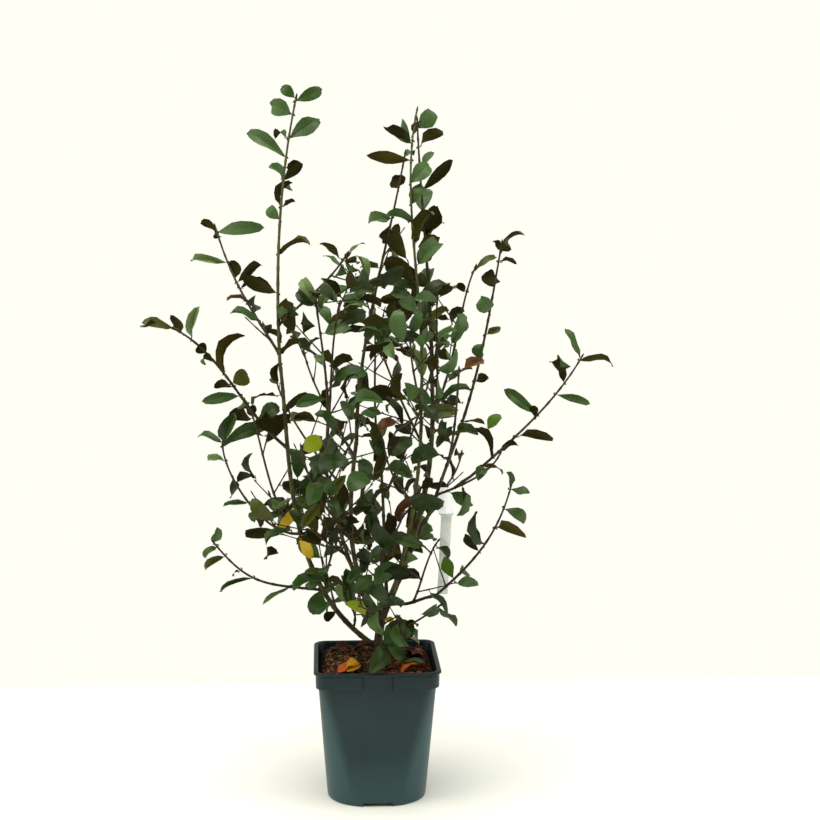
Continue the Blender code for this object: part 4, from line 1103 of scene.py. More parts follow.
# %% Leaves set one by one
SET_LEAVES = {
    "left_top": [
        (1, -2, 0.4, 1.7, 1.5, "mid"), (0.99, 3.6, 1.1, 1.6, 1.7, "mid"),
        (0.94, -3.5, 1.2, 1.5, 2.4, "grey"), (0.85, 4.1, 2.6, 2.7, 2.4, "mid"),
        (0.78, -5.3, 1.7, 3.3, 1.9, "grey"), (0.74, 2.5, 1.2, 0.3, 1.5, "deep", -1),
        (0.69, -2.1, -1.7, 2.1, 2, "grey"), (0.69, 2.6, -0.1, 2.3, 1.5, "deep", -1),
        (0.59, 1.8, 2.4, 3.7, 2.3, "deep", -1), (0.59, 2.2, 0.5, 0.8, 0.8, "mid", -1),
        (0.54, -1.6, 1.1, 2, 1.6, "grey"), (0.41, 4.7, -2.1, 1.4, 1.2, "olive", -1),
        (0.26, -5.1, -0.2, 2.5, 1.8, "mid", -1), (0.03, 5, -1.5, 1.2, 1.5, "olive", -1),
        (0, -0.3, 0.1, -3, 1.8, "deep", -1), (0.15, 3.1, -2.1, 2.2, 1.5, "grey")],
    "left": [
        (0.85, 4.5, 0.4, 1.5, 1.9, "dark", -1), (0.18, -1.5, 0.1, -1.9, 1.6, "mid", -1),
        (0.55, -2.3, -1.5, -3, 1.5, "yellow"), (0.46, 1.6, -2.6, -3, 1.8, "yellow")],
    "high_left": [
        (0.97, -2.5, -1.1, 1.4, 1.3, "olive", -1), (0.97, 7.6, -1.9, 0.6, 1.8, "grey"),
        (0.75, -5.6, 2.8, 0.2, 1.5, "pale"), (0.6, -0.7, 0.9, 2.7, 2.9, "deep", -1),
        (0.58, 3.8, -1.7, 2.7, 1.8, "deep", -1), (0.53, 5, 1.7, -0.7, 1.5, "mid", -1),
        (0.41, -3.2, -1.3, 0.2, 0.8, "rust"), (0.24, -4.2, 0.6, 1.1, 1.8, "grey"),
        (0.17, 2.4, -1.5, -1.9, 1.5, "mid", -1)],
    "out_left": [
        (0.92, -4, -2.6, 1, 1.6, "olive"), (0.86, -1.7, 1.4, 2.4, 1.6, "deep", -1),
        (0.8, 1.3, -1.7, 4.7, 1.8, "pale"), (0.68, -1.2, -0.6, 1.2, 1.7, "deep", -1),
        (0.54, 3.2, 3.8, 5.5, 2.7, "olive", -1), (0.47, 2.4, 1.1, 1.3, 2.3, "olive"),
        (0.39, -5.6, -1.6, -0.7, 1.5, "mid"), (0.45, -3.1, 1.7, -0.4, 1.4, "deep", -1),
        (0.25, -1.3, 0.1, 1.3, 1.8, "mid", -1), (0.23, 3.3, 0.6, 1.7, 2.1, "dark")],
    "mid_left": [
        (0.98, 2.1, -1.8, 4.9, 2.7, "dark"), (1, -4, 2, 0.7, 1.4, "mid"),
        (0.96, 7.2, 1.7, 2.6, 2.1, "mid"), (0.83, -2.8, 1.8, -0.1, 1.4, "pale"),
        (0.69, -0.5, 1.4, -3, 2.5, "dark"), (0.65, 2.4, -0.6, 1.3, 2.3, "mid", -1),
        (0.49, -3.6, -0.6, -0.4, 1.2, "grey"), (0.43, 1, -1.1, -2.3, 1.7, "deep", -1),
        (0.38, 4.3, -1.8, 2.1, 1.8, "mid")],
    "low_left": [
        (1, 0.6, -1.2, 2.4, 1.9, "grey"), (0.97, -1.8, -0.6, -1.6, 1.4, "grey"),
        (0.89, -3, 0.5, -2.3, 1.4, "olive"), (0.72, -1, -1, -0.8, 0.9, "grey", -1),
        (0.58, -5, 1.2, -2.5, 0.9, "grey"), (0.22, -4, -1, -2.4, 0.8, "grey"),
        (0.12, 1.9, -0.5, 1.6, 1.5, "mid"), (0.02, -0.9, -1.2, -3.6, 2.6, "mid")],
    "main_top": [
        (0.97, 2.3, 1.4, 2.9, 2.5, "grey"), (0.9, 4.2, -0.1, 2, 1.7, "olive", -1),
        (0.82, 1.9, -1.6, 2.1, 1.4, "grey"), (0.73, 4.1, -3.6, 4.3, 1.6, "deep", -1),
        (0.56, 1.6, -2.6, 4, 2.6, "deep", -1), (0.55, 3.1, 1.2, 2.3, 1.7, "grey"),
        (0.45, 2, -0.7, 4.2, 3.8, "olive", -1), (0.36, 0.5, 1.4, 2.5, 2.5, "grey")],
    "tall_top": [
        (0.91, 1.4, -0.1, 2, 1.7, "olive", -1), (0.89, -4.4, -1.1, 2.1, 1.6, "deep", -1),
        (0.82, -5.9, 1.6, 0.7, 1.7, "olive", -1), (0.74, 2.6, 1.9, 2.6, 2.3, "grey"),
        (0.67, 2.8, 1.3, 2.2, 2.8, "mid"), (0.61, -4.1, -2.6, 1, 2, "mid")],
    "centre_top": [
        (0.88, -0.6, 0.8, 2.3, 2.7, "deep", -1), (0.78, -3.6, 0.4, -0.7, 2.4, "grey"),
        (0.76, -1.5, -2.2, -2.6, 1.6, "deep", -1), (0.71, 0.7, -1.1, -3, 2, "deep", -1)],
    "right_top": [
        (0.99, 3.2, -1.3, 1.6, 1.2, "olive", -1), (0.97, -1, 0.5, 1.3, 1.6, "deep", -1),
        (0.92, 2.7, 1.2, -0.4, 0.9, "mid", -1), (0.8, -0.4, 1.5, 2.5, 2.8, "deep", -1),
        (0.67, -1.5, -0.6, 2.8, 2.4, "grey"), (0.56, 2.2, -0.4, 1.1, 1.2, "olive"),
        (0.43, 0.3, 0.1, 2.4, 2.2, "mid"), (0.32, 2.4, 0.7, 0.3, 1.4, "deep", -1),
        (0.28, -4.9, -2.4, -2, 1.5, "mid"), (0.12, 3.2, 0.9, -0.6, 1.4, "olive", -1)],
    "behind_main": [
        (0.97, 3.8, 1.5, 2.2, 1.1, "olive"), (0.81, -2.1, 1.2, 0.7, 1.6, "mid", -1),
        (0.66, -0.7, -1.7, -2.8, 2.3, "mid")],
    "far_right_top": [
        (0.99, -1.9, 2.5, 4.1, 1.3, "mid"), (0.98, 4.9, -2.7, -0.8, 1.8, "olive", -1),
        (0.81, -2.6, -0.8, 3.6, 1.7, "deep", -1), (0.72, 5.1, 0.7, -1.6, 1.2, "mid"),
        (0.55, -4.5, 2.7, 3.4, 1.7, "mid"), (0.53, -0.8, -0.4, 1.8, 1.6, "mid", -1),
        (0.17, 2.1, 0.8, 2.1, 2.2, "fresh"), (0.36, 6.6, 0.3, -0.9, 1.1, "mid", -1),
        (0.23, 2.9, -0.7, 0.9, 1.8, "deep", -1), (0.18, -3.7, -1.2, 4.3, 1.2, "deep", -1),
        (0.09, 3.2, -1.3, -1.2, 1.3, "olive", -1)],
    "low_right_top": [
        (0.99, -0.7, -1.1, 2.4, 1.7, "mid"), (0.98, 2.5, -1.1, -0.3, 1.5, "mid"),
        (0.84, 3.3, 0.9, -2.5, 1.8, "mid"), (0.67, 5.8, 3.2, -2.4, 1.2, "olive", -1),
        (0.51, -1.3, -2, 5.5, 2.6, "dark"), (0.45, -2.2, -1.5, 2.7, 1.2, "deep", -1),
        (0.17, -1.2, 1.7, 2.8, 1.9, "fresh")],
    "front_left": [
        (0.97, 2.6, -0.5, 2.1, 2.2, "yellow_green")],
    "front_low": [
        (0.63, -3.3, -3.5, 2.6, 1.6, "yellow_green"), (0.57, -1.4, -2.9, -0.9, 0.8, "deep")],
    "trunk": [
        (0.5, 1.6, -1.5, -0.1, 1.2, "yellow"), (0.71, 2.7, -2.9, 0.7, 1.8, "grey")],
    "base_right": [
        (0.39, 1.7, -1.8, 0.5, 1.7, "deep", -1), (0.94, 2.4, -3.3, -1.7, 2.2, "dark"),
        (0.97, -3.2, -3, -0.5, 1.6, "dark")],
}
LEAF_TWIGS = {("far_right_top", 0.17): Vector((-0.6, 1.5, 3.7))}
BRIGHT = ("yellow", "yellow_green", "fresh")
POINTS_TO_OR_FRO = 0.87       # a leaf that points this much along y stays
THINNED = (43, 61)            # heights between which two leaves in five have dropped
BARE_FOOT = 27.5              # and the height below which those in front have
side_dice = random.Random(41)


def set_leaf(root, reach, width, kind, side=1):
    points = reach.normalized()
    face = Vector((side_dice.uniform(-0.9, 0.9), -0.8 * side, side_dice.uniform(0.1, 0.9)))
    return {"root": root - points * 0.35, "points": points, "width": width * 1.06,
            "kind": kind, "face": (face - points * face.dot(points)).normalized(),
            "length": max(0.9, reach.length - 0.15) / 0.92,
            "shape": side_dice.choice((2, 7, 11, 12) if kind in BRIGHT
                                      else range(LEAF_SHAPES))}


def stays(grown, spot, onward=0.0):
    """True below the stretch that is set one by one, or for a leaf that points to or fro."""
    rows = SET_LEAVES.get(grown["shoot"])
    return not rows or abs(onward) > POINTS_TO_OR_FRO or \
        spot.z < limb_point(grown["shoot"], min(r[0] for r in rows) - 0.03).z


def crowded(n, leaf):
    """True where the plant has dropped leaves: two in five halfway up, and some low ones."""
    spot = leaf_centre(leaf)
    return "turning" not in leaf and ((THINNED[0] < spot.z < THINNED[1] and n % 5 < 2) or (
        spot.z < BARE_FOOT and spot.y < 0 and -3 < spot.x < 2))


all_twigs = [twig for twig in all_twigs if stays(twig, twig["path"][0])]
all_leaves = [leaf for n, leaf in enumerate(all_leaves)
              if stays(leaf, leaf["root"], leaf["points"].y) and not crowded(n, leaf)]
for shoot, rows in SET_LEAVES.items():
    for share, x, y, z, width, kind, *side in rows:
        root = limb_point(shoot, share)
        if (shoot, share) in LEAF_TWIGS:
            tip = root + LEAF_TWIGS[shoot, share]
            all_twigs.append({"path": (root, tip)})
            root = tip
        all_leaves.append(set_leaf(root, Vector((x, y, z)), width, kind, *side))
bright_spots = [leaf_centre(leaf) for leaf in all_leaves if leaf["kind"] in BRIGHT]


def hides(leaf):
    """True for a dull leaf less than 8 cm in front of one of the bright ones."""
    centre = leaf_centre(leaf)
    return leaf["kind"] not in BRIGHT and any(
        -8 < centre.y - spot.y < 1 and math.hypot(centre.x - spot.x, centre.z - spot.z) < 1.7
        for spot in bright_spots)


all_leaves = [leaf for leaf in all_leaves if not hides(leaf)]
print("leaves kept and set", len(all_leaves))

# %% [markdown]
# At the foot two short twigs reach forward from the trunk. Their soft green leaves hang
# down over the mulch, and one lies over the pot's front rim.

# %% Low leaves
LOW_TWIGS = [((0.5, 0.6, 22.3), (0.9, -2.2, 23.0), (0.7, -5.3, 22.2)),
             ((0.8, 0.6, 23.6), (1.8, -0.8, 25.0), (3.0, -2.2, 25.7))]
for root, tip, width, kind in [((0.9, -5.2, 22.2), (-1.6, -10.2, 19.3), 2.9, "dark"),
                               ((3.2, -2.2, 25.6), (1.5, -4.2, 20.9), 2.5, "mid"),
                               ((1.2, -3.2, 23.0), (4.1, -5.4, 20.0), 2.2, "mid"),
                               ((2.9, -2.0, 25.5), (4.9, -3.4, 22.4), 2.0, "dark")]:
    all_leaves.append(set_leaf(Vector(root), Vector(tip) - Vector(root), width, kind))
low_paths = [[(Vector(a).lerp(Vector(b), t).lerp(Vector(b).lerp(Vector(c), t), t),
               0.14 - 0.05 * t) for t in (k / 10 for k in range(11))] for a, b, c in LOW_TWIGS]
settle(sweep_paths("low_twigs", low_paths, 6, 0.03, 600.0, barks["twig"]),
       ["trunk"])
print("leaves", len(all_leaves), "twigs", len(all_twigs))


def leaf_spot(leaf):
    root = leaf["root"] + leaf["points"] * LEAF_STALK
    size = (leaf["length"] * 0.92, leaf["width"] / BLADE_RATIO, leaf["length"] * 0.92)
    return root, facing(leaf["points"], leaf["face"]), size, leaf["shape"]


for kind, (upper, under, _) in LEAF_KINDS.items():
    dealt = [leaf for leaf in all_leaves if leaf["kind"] == kind]
    piece = set_shapes("leaves_" + kind, [leaf_spot(leaf) for leaf in dealt], leaf_shapes,
                       leaf_finish("leaf_%s_upper" % kind, upper, 0.36, 0.16, 0.22),
                       leaf_finish("leaf_%s_under" % kind, under, 0.62, 0.35))
    settle(piece, mass_nodes)

# %% [markdown]
# Twigs are this year's wood: thin, nearly black, and a little bowed, because a twig
# turns up towards the light as it lengthens.

# %% Twigs
def twig_path(twig, dice):
    first, last = twig["path"]
    span = last - first
    bow = Vector((dice.uniform(-0.1, 0.1), dice.uniform(-0.1, 0.1), -0.12))
    steps = max(4, round(span.length / 0.6))
    path = []
    for k in range(steps + 1):
        t = k / steps
        spot = first + span * t + bow * (4 * t * (1 - t)) * 0.6
        near = knots.find(spot)[2]
        path.append((spot, 0.115 - 0.045 * t + 0.03 * math.exp(-(near / 0.3) ** 2)))
    return path


dice = random.Random(5)
settle(sweep_paths("twigs", [twig_path(twig, dice) for twig in all_twigs], 6, 0.03, 600.0,
                   barks["twig"]), mass_nodes)

# %% [markdown]
# Each stalk leaves the stem, bends and runs into the midrib. They are swept by the
# same tree as the stems.

# %% Leaf stalks
stalk_green = finish("stalk_green", paint(74, 70, 32), 0.5, grain=1500, relief=0.1,
                     second=paint(48, 38, 20), patch=200)


def stalk_path(leaf):
    root, ahead, face = leaf["root"], leaf["points"], leaf["face"]
    return [(root, 0.085), (root + ahead * 0.25 - face * 0.03, 0.062),
            (root + ahead * LEAF_STALK - face * 0.015, 0.055),
            (root + ahead * (LEAF_STALK + 0.35) - face * 0.03, 0.03)]


settle(sweep_paths("leaf_stalks", [stalk_path(leaf) for leaf in all_leaves], 5, 0.0, 500.0,
                   stalk_green), mass_nodes)

# %% [markdown]
# A living shoot has a pointed, downy bud at its tip, and a tiny one in the angle above
# each leaf stalk.

# %% Buds
bud_down = finish("bud_down", paint(66, 54, 28), 0.85, grain=1800, relief=0.4,
                  second=paint(44, 36, 20), patch=300)
bud_shapes = new_shapes("bud_shapes")
for k, fat in enumerate((0.17, 0.24)):
    corners, faces = loft([[Vector((x, fat * r * math.cos(math.tau * s / 6),
                                    fat * r * math.sin(math.tau * s / 6))) for s in range(6)]
                           for x, r in ((0.0, 0.6), (0.25, 1.0), (0.6, 0.8), (0.85, 0.35))],
                          ends=False)
    corners.append(Vector((1.0, 0, 0.02)))
    faces += [(18 + s, 18 + (s + 1) % 6, 24) for s in range(6)] + [(5, 4, 3, 2, 1, 0)]
    add_shape(bud_shapes, "bud_%d" % k, corners, faces)

dice = random.Random(9)
bud_spots = []
for name in shoots:
    if not any(LIMBS[other][0] == name and LIMBS[other][1] >= 1.0 for other in LIMBS):
        size = dice.uniform(0.8, 1.1)
        way = limb_direction(name, 1.0)
        bud_spots.append((limb_point(name, 1.0) - way * 0.1, facing(way, Vector((0.1, 1, 0))),
                          (size,) * 3, 0))
for twig in all_twigs:
    first, last = twig["path"]
    bud_spots.append((last - (last - first).normalized() * 0.05,
                      facing(last - first, Vector((0.1, 1, 0.1))), (0.55,) * 3, 0))
for leaf in all_leaves:
    way = (leaf["points"] + Vector((0, 0, 0.9))).normalized()
    bud_spots.append((leaf["root"] + way * 0.06, facing(way, Vector((0.1, 1, 0.1))),
                      (0.34,) * 3, 1))
settle(set_shapes("buds", bud_spots, bud_shapes, bud_down, bud_down), mass_nodes)
clear_shapes(bud_shapes)

# %% [markdown]
# The pot is thin moulded plastic: nearly round at the foot and square at the top, with
# a rolled lip, and a collar under the lip that a flat panel interrupts on each side. Its
# foot has a shallow notch in the middle of each side. It is lofted from rings, because
# every ring can then carry its own corner radius, collar and notch. Its colour is paler
# at the foot, partly dusty plastic and partly a painted reflection of the floor. A painted
# highlight pales the corners below the collar, and a painted shade darkens the wall
# towards the lip.

# %% Pot
MOULD_STEPS = 12              # steps round each corner
CM_SIDE = (-2.12, -2.0, -0.7, 0.7, 2.0, 2.12)      # points along each side
ROLL = 0.0024                 # radius of the rolled lip


def pot_ring(half, corner, z, panel=None, notch=0.0):
    """One loop round the pot in metres. panel is the half width where the collar stops."""
    flat = half - corner

    def out(s):
        over = abs(s) - flat
        return half if over <= 0 else flat + math.sqrt(corner ** 2 - over ** 2)

    first = math.asin(max(0.0, (CM_SIDE[-1] * CM - flat) / corner))
    ring = []
    for quarter in range(4):
        turn = Matrix.Rotation(quarter * math.pi / 2, 3, "Z")
        for k, s in enumerate(CM_SIDE):
            inside = 0 < k < len(CM_SIDE) - 1
            x = panel if panel is not None and inside else out(s * CM)
            ring.append(turn @ Vector((x, s * CM, z + (notch if inside else 0.0))))
        for k in range(MOULD_STEPS):
            angle = first + (math.pi / 2 - 2 * first) * (k + 0.5) / MOULD_STEPS
            ring.append(turn @ Vector((flat + corner * math.cos(angle),
                                       flat + corner * math.sin(angle), z)))
    return ring


def up_the_wall(foot, neck, z):
    """A size that runs evenly from the foot to the neck of the pot's wall."""
    return foot + (neck - foot) * (z - 0.004) / (LIP_BOTTOM - 0.004)


def wall_half(z):
    return up_the_wall(FOOT_HALF, NECK_HALF, z)


def wall_corner(z):
    return up_the_wall(FOOT_CORNER, NECK_CORNER, z)


def inner_half(z):
    return wall_half(z) - POT_WALL


def pot_rings():
    """Rings from the foot up the outside, over the lip and down the inside."""
    bottom, high = FOOT_HALF - 0.0012, NOTCH_HEIGHT
    rows = [(bottom - NOTCH_DEPTH - 0.001, FOOT_CORNER - 0.013, 0.0),
            (bottom - NOTCH_DEPTH, FOOT_CORNER - 0.012, 0.0, None, high),
            (bottom - 0.0006, FOOT_CORNER - 0.0006, 0.0, None, high),
            (bottom + 0.0004, FOOT_CORNER, 0.0008, None, high - 0.0006),
            (FOOT_HALF, FOOT_CORNER, 0.004, None, high - 0.0028)]
    rows += [(wall_half(z), wall_corner(z), z)
             for z in (0.010, 0.04, 0.08, 0.12, 0.15, COLLAR_BOTTOM - 0.001)]
    rows += [(half, LIP_CORNER, z, wall_half(COLLAR_BOTTOM) + (z - COLLAR_BOTTOM) * 0.07)
             for half, z in ((COLLAR_HALF - 0.0012, COLLAR_BOTTOM),
                             (COLLAR_HALF - 0.0002, COLLAR_BOTTOM + 0.0005),
                             (COLLAR_HALF, COLLAR_BOTTOM + 0.0015),
                             (COLLAR_HALF, LIP_BOTTOM - 0.001))]
    rows.append((COLLAR_HALF + 0.0006, LIP_CORNER, LIP_BOTTOM - 0.0004, NECK_HALF + 0.0006))
    rows += [(LIP_HALF - ROLL + ROLL * math.cos(a), LIP_CORNER,
              POT_HEIGHT - ROLL + ROLL * math.sin(a))
             for a in (-math.pi / 2 + math.pi * k / 8 for k in range(9))]
    rows += [(NECK_HALF + 0.0012, NECK_CORNER, POT_HEIGHT - 0.0002),
             (NECK_HALF - POT_WALL * 0.6, NECK_CORNER - 0.001, POT_HEIGHT - 0.0016)]
    rows += [(inner_half(z), wall_corner(z) - POT_WALL, z)
             for z in (POT_HEIGHT - 0.004, 0.15, 0.10, POT_FLOOR + 0.004)]
    rows.append((inner_half(0.003) - 0.003, FOOT_CORNER - 0.004, POT_FLOOR))
    return [pot_ring(*row) for row in rows]


def plain_piece(name, corners, faces, material, smooth=35):
    """A mesh piece in metres with its faces outward and smooth up to an angle."""
    mesh = new_mesh(name, corners, [], faces)
    work = bmesh.new()
    work.from_mesh(mesh)
    bmesh.ops.remove_doubles(work, verts=work.verts, dist=1e-6)
    bmesh.ops.recalc_face_normals(work, faces=work.faces)
    work.to_mesh(mesh)
    work.free()
    mesh.materials.append(material)
    mesh.shade_smooth()
    mesh.set_sharp_from_angle(angle=math.radians(smooth))
    return show(name, mesh)


moulded_plastic_painted_light = finish("moulded_plastic_painted_light", paint(24, 47, 51), 0.36, swing=0.04, grain=500,
                         relief=0.03, gloss=0.22, second=paint(29, 53, 57), patch=14,
                         edge=(0.35, 0.7))
tree = moulded_plastic_painted_light.node_tree
base = tree.nodes["Principled BSDF"].inputs["Base Color"]
place = add_node(tree, "ShaderNodeSeparateXYZ",
                 {0: tree.nodes["Texture Coordinate"].outputs["Object"]}).outputs
# painted highlight: the corners are paler below the collar, in a band that widens towards the foot
nearer = maths(tree, "MINIMUM", maths(tree, "ABSOLUTE", place["X"]),
               maths(tree, "ABSOLUTE", place["Y"]))
corners = in_range(tree, maths(tree, "MULTIPLY_ADD", place["Z"], -0.28, nearer),
                   (0.018, 0.036), (0.0, 0.6), interpolation_type="SMOOTHSTEP")
below_collar = in_range(tree, place["Z"], (COLLAR_BOTTOM - 0.002, COLLAR_BOTTOM + 0.002),
                        (1.0, 0.0))
foot = in_range(tree, place["Z"], (0.0, 0.075), (0.65, 0.0))      # paler at the foot: dusty plastic and a painted reflection of the floor, fading upwards
top = in_range(tree, place["Z"], (0.12, 0.18), (0.0, 0.55))       # painted shade: darker towards the lip
# painted light and dusty foot: the paler colour goes on the corners' painted highlight and on the
# foot
dust_and_painted_light = maths(tree, "MAXIMUM", maths(tree, "MULTIPLY", corners, below_collar), foot)
# painted shade mixed into the base colour towards the lip
base_with_painted_shade = mix_colours(tree, top, base.links[0].from_socket, paint(13, 29, 31))
tree.links.new(mix_colours(tree, dust_and_painted_light, base_with_painted_shade, paint(60, 88, 94)), base)
settle(plain_piece("moulded_pot", *loft(pot_rings()), moulded_plastic_painted_light), ["pot"])

# %% [markdown]
# The soil is potting mix with bark mulch on top, domed and uneven. A noise lifts the
# surface, and the edge stays just inside the pot's wall.

# %% Soil
def soil_height(x, y):
    """The mulch is heaped a little, more at the back than in front."""
    rough = noise.fractal(Vector((x * 60, y * 60, 3.0)), 0.9, 2.2, 4)
    edge = min(1.0, (0.078 - max(abs(x), abs(y))) / 0.012)
    return SOIL_TOP - 0.001 + (0.006 + 0.05 * (y + 0.07)) * max(0.0, edge) + 0.0022 * rough


def soil_rings():
    top = SOIL_TOP - 0.002
    rim = pot_ring(inner_half(top) - 0.0004, 0.0153, top)
    rings = [pot_ring(inner_half(0.14) - 0.0005, wall_corner(0.14) - POT_WALL, 0.14), rim]
    for k in range(1, 17):
        share = 1.0 - k / 17
        rings.append([Vector((v.x * share, v.y * share, soil_height(v.x * share, v.y * share)))
                      for v in rim])
    return rings


soil_mix = finish("soil_mix", paint(60, 42, 30), 0.95, swing=0.04, grain=500, relief=0.9,
                  second=paint(34, 24, 18), patch=120)
settle(plain_piece("soil_bed", *loft(soil_rings()), soil_mix, 60), ["soil"])

# %% [markdown]
# Mulch is many small broken pieces: crumbs of dark compost, flat chips of bark, and a
# patch of pale grit. Each kind is a few rough shapes set on the soil by the same tree
# as the leaves, sunk a little so that nothing floats.

# %% Mulch
def chip_mesh(shapes, name, dice, long, wide, thick):
    """A rough flat chip: a six-sided outline with an uneven upper and under face."""
    rings = [[], []]
    for ring, z in zip(rings, (-1, 1)):
        for s in range(6):
            angle = math.tau * s / 6 + dice.uniform(-0.25, 0.25)
            r = dice.uniform(0.7, 1.0)
            ring.append(Vector((long * r * math.cos(angle), wide * r * math.sin(angle),
                                z * thick * dice.uniform(0.5, 1.0))))
    corners, faces = loft(rings, ends=False)
    corners += [Vector((0, 0, -thick)), Vector((0, 0, thick * 1.3))]
    faces += [((s + 1) % 6, s, 12) for s in range(6)]
    faces += [(6 + s, 6 + (s + 1) % 6, 13) for s in range(6)]
    add_shape(shapes, name, corners, faces).shade_flat()


def scatter(name, count, seed, sizes, shape, finish_used, where=None, sink=0.0):
    """Chips on the soil: how many, how big, what shape, and where they may lie."""
    dice = random.Random(seed)
    shapes = new_shapes(name + "_shapes")
    for k in range(5):
        chip_mesh(shapes, "%s_%d" % (name, k), dice, *shape)
    spots = []
    half = (inner_half(SOIL_TOP) - 0.004) / CM
    while len(spots) < count:
        x, y = dice.uniform(-half, half), dice.uniform(-half, half)
        size = dice.uniform(*sizes)
        edge = half - size
        if abs(x) > edge or abs(y) > edge or (abs(x) > edge - 1 and abs(y) > edge - 1):
            continue
        if math.hypot(x - TRUNK_FOOT[0], y - TRUNK_FOOT[1]) < 1.0 or (
                where and not where(x, y, dice)):
            continue
        z = soil_height(x * CM, y * CM) / CM + size * sink
        tilt = Matrix.Rotation(dice.uniform(-0.5, 0.5), 3, "X") @ Matrix.Rotation(
            dice.uniform(-0.5, 0.5), 3, "Y")
        spots.append((Vector((x, y, z)), Matrix.Rotation(dice.uniform(0, 6.28), 3, "Z") @ tilt,
                      (size, size, size), dice.randrange(5)))
    settle(set_shapes(name, spots, shapes, finish_used, finish_used), ["soil"])
    clear_shapes(shapes)


scatter("compost_crumbs", 1500, 1, (0.10, 0.30), (1, 0.8, 0.5),
        finish("crumb_brown", paint(50, 34, 24), 0.95, relief=0.6,
               second=paint(84, 58, 40), patch=150), sink=0.15)
scatter("bark_chips", 170, 2, (0.35, 0.85), (1, 0.5, 0.16),
        finish("chip_bark", paint(92, 50, 34), 0.85, grain=700, relief=0.7,
               second=paint(58, 36, 26), patch=90), sink=0.12)
scatter("red_chips", 26, 3, (0.5, 1.0), (1, 0.6, 0.14),
        finish("chip_red", paint(150, 74, 44), 0.8, grain=700, relief=0.5,
               second=paint(112, 52, 36), patch=110),
        where=lambda x, y, dice: (x < -2.5 and y < -3.0) or (x > 2.0 and y < -2.5)
        or dice.random() < 0.06, sink=0.2)
scatter("pale_grit", 220, 4, (0.10, 0.26), (1, 0.8, 0.6),
        finish("grit_ochre", paint(168, 140, 88), 0.9, relief=0.4,
               second=paint(120, 92, 58), patch=150),
        where=lambda x, y, dice: dice.random() < (0.9 if x < -2.5 and abs(y) < 4.5 else 0.05),
        sink=0.3)

# %% [markdown]
# A few leaves have fallen on the mulch. They use the same leaf shapes, laid one by one:
# place, height over the soil, heading, slope, length, width, shape and face.

# %% Fallen leaves
def laid_leaf(x, y, raised, heading, slope, length, width, shape, face=(0, 0, 1)):
    ahead = Vector((math.cos(heading) * math.cos(slope), math.sin(heading) * math.cos(slope),
                    math.sin(slope)))
    z = soil_height(x * CM, y * CM) / CM + raised
    return (Vector((x, y, z)), facing(ahead, Vector(face)),
            (length, width / BLADE_RATIO, length), shape)


FALLEN = {
    "fallen_orange": (paint(186, 92, 34), paint(150, 78, 36), [
        laid_leaf(-5.6, -5.4, 0.3, 0.35, 0.0, 4.6, 2.8, 3),
        laid_leaf(3.2, -5.4, 0.3, 0.25, 0.0, 4.2, 2.2, 5)]),
    "fallen_yellow": (paint(226, 168, 44), paint(200, 144, 48), [
        laid_leaf(-4.2, -6.0, 0.6, 1.0, 0.25, 3.2, 1.9, 7, (0.2, -0.7, 0.7))]),
    "fallen_green": (paint(52, 84, 40), paint(84, 86, 46), [
        laid_leaf(3.4, -3.0, 0.6, -0.15, 0.03, 3.8, 1.9, 2)]),
    "fallen_brown": (paint(72, 42, 26), paint(60, 36, 22), [
        laid_leaf(2.2, 0.2, 0.3, 0.5, 0.0, 3.8, 2.2, 9),
        laid_leaf(-6.2, 3.0, 0.3, 0.4, 0.0, 3.4, 2.0, 1),
        laid_leaf(-3.0, 4.0, 0.3, 0.2, 0.0, 3.8, 2.1, 4),
        laid_leaf(3.6, 2.6, 0.3, -0.3, 0.0, 3.6, 2.0, 12),
        laid_leaf(-1.8, -6.4, 0.3, 0.1, 0.0, 3.2, 1.8, 11)]),
    "fallen_grey": (paint(150, 144, 128), paint(128, 118, 98), [
        laid_leaf(3.0, 5.2, 0.5, -0.15, 0.06, 4.0, 1.4, 6)]),
}
for name, (upper, under, spots) in FALLEN.items():
    settle(set_shapes(name, spots, leaf_shapes, leaf_finish(name + "_upper", upper, 0.55, 0.3),
                      leaf_finish(name + "_under", under, 0.7, 0.4)), ["soil"])
clear_shapes(leaf_shapes)

# %% [markdown]
# The plant label is a strip of white coated paper looped round a bough: a wide head
# folded over the stem, and a narrow strip that hangs and curls a little. It stays bare.
# The head carries a faint painted glow, an emission that stands in for the light it catches from
# the room.

# %% Plant label
def label_outline(share):
    """Left and right edge and height of the label at a share from its top."""
    left, right, low, high = LABEL_HEAD
    middle, end = LABEL_STRIP_END
    half = LABEL_STRIP_WIDTH / 2
    top = (left + right) / 2
    z = high + (end - high) * share
    if z > low:
        return left, right, z
    lean = (low - z) / (low - end)
    narrow = min(1.0, (low - z) / 0.15)
    wide = (right - left) / 2 + (half - (right - left) / 2) * narrow
    centre = top + (middle - top) * lean
    return centre - wide, centre + wide, z


def label_ribbon():
    rows, columns = 46, 13
    corners = []
    for r in range(rows):
        left, right, z = label_outline(r / (rows - 1))
        sway = 0.10 * math.sin(r * 0.16) + 0.16 * (r / rows) ** 2 * math.sin(r * 0.33)
        for c in range(columns):
            s = c / (columns - 1)
            bow = -0.10 * (1 - (2 * s - 1) ** 2)
            if z > LABEL_HEAD[2]:
                bow = 0.5 * abs(s - 0.45) - 0.25
            corners.append(Vector((left + (right - left) * s, LABEL_FRONT + sway + bow, z)) * CM)
    faces = [(r * columns + c, r * columns + c + 1, (r + 1) * columns + c + 1,
              (r + 1) * columns + c) for r in range(rows - 1) for c in range(columns - 1)]
    return corners, faces


def label_band():
    """The loop round the bough, as a thin band of two skins."""
    ends = loop_ends(0.01)
    way = (ends[1] - ends[0]).normalized()
    return loft([[(spot + outward(way, math.tau * s / 28) * LOOP_OUTER) * CM
                  for s in range(28)] for spot in ends], ends=False)


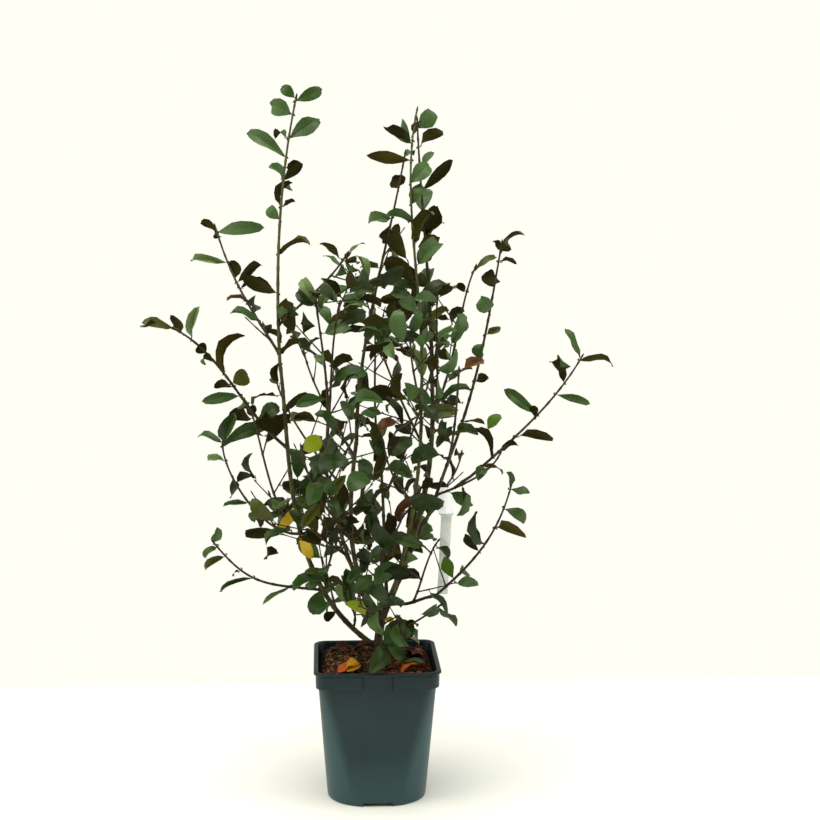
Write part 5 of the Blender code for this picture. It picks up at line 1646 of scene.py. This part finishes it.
head_paper_painted_glow = finish("head_paper_painted_glow", paint(246, 247, 250), 0.5, relief=0.05)
# painted glow: a faint emission on the head, standing in for the light it catches
feed(head_paper_painted_glow.node_tree, head_paper_painted_glow.node_tree.nodes["Principled BSDF"],
     {"Emission Color": (0.9, 0.94, 1.0, 1), "Emission Strength": 0.22})
strip_paper = finish("strip_paper", paint(236, 240, 240), 0.5, relief=0.05,
                     second=paint(190, 200, 202), patch=40)
ribbon, ribbon_faces = label_ribbon()
band, band_faces = label_band()
count = len(ribbon)
label = show("paper_label", new_mesh("paper_label", ribbon + band, [], ribbon_faces
                                     + [tuple(count + v for v in f) for f in band_faces]))
label.data.shade_smooth()
thicken = label.modifiers.new("paper", "SOLIDIFY")
thicken.thickness = 0.0004
thicken.offset = 0.0
depsgraph = bpy.context.evaluated_depsgraph_get()
solid = bpy.data.meshes.new_from_object(label.evaluated_get(depsgraph))
label.modifiers.clear()
label.data = solid
solid.materials.clear()
solid.materials.append(head_paper_painted_glow)
solid.materials.append(strip_paper)
for face in solid.polygons:
    face.material_index = int(face.center.z < LABEL_HEAD[2] * CM)
solid.set_sharp_from_angle(angle=math.radians(15))
settle(label, ["plant_label"])

# %% [markdown]
# The studio is a pale floor that ends a little behind the plant. White walls behind and
# beside it give back more light than the dim room in front, which leaves the pot's face
# dark and its corners bright; the pot's finish adds a painted highlight on those corners.
# A wide lamp overhead lights the floor and the leaves. Two warmer lamps, one at each side,
# light the flanks of the crown.

# %% Floor and light
def stage_plane(name, corners, material):
    mesh = new_mesh(name, corners, [], [(0, 1, 2, 3)])
    mesh.materials.append(material)
    show(name, mesh)


floor_white = finish("floor_white", (0.97, 0.97, 1.0, 1), 0.6, grain=40, relief=0.02)
stage_plane("floor", [(-5, -5, 0), (5, -5, 0), (5, 0.525, 0), (-5, 0.525, 0)], floor_white)

scene.view_settings.view_transform = "Standard"
world = bpy.data.worlds.new("studio")
world.use_nodes = True
tree = world.node_tree
place = add_node(tree, "ShaderNodeSeparateXYZ",
                 {0: add_node(tree, "ShaderNodeTexCoord").outputs["Generated"]})
room = in_range(tree, place.outputs["Y"], (-0.7, 0.4), (0.12, 0.55))    # dim in front
seen = add_node(tree, "ShaderNodeLightPath").outputs["Is Camera Ray"]
strength = add_node(tree, "ShaderNodeMix", {"Factor": seen, "A": room, "B": 1.0})
feed(tree, tree.nodes["Background"], {"Color": (1.0, 1.0, 0.91, 1), "Strength": strength})
scene.world = world


def lamp(name, place, target, size, power, colour):
    data = bpy.data.lights.new(name, "AREA")
    data.shape, data.size, data.energy, data.color = "DISK", size, power, colour
    made = show(name, data)
    made.location = place
    made.rotation_euler = (Vector(target) - Vector(place)).to_track_quat("-Z", "Y").to_euler()


lamp("overhead", (-0.2, -0.6, 3.0), (0, 0, 0), 2.6, 88, (1.0, 1.0, 0.88))
lamp("left", (-2.2, -0.6, 1.4), (0, 0, 0.3), 2.8, 34, (1.0, 0.98, 0.70))
lamp("right", (2.2, -0.5, 1.1), (0, 0, 0.3), 2.8, 30, (1.0, 0.99, 0.76))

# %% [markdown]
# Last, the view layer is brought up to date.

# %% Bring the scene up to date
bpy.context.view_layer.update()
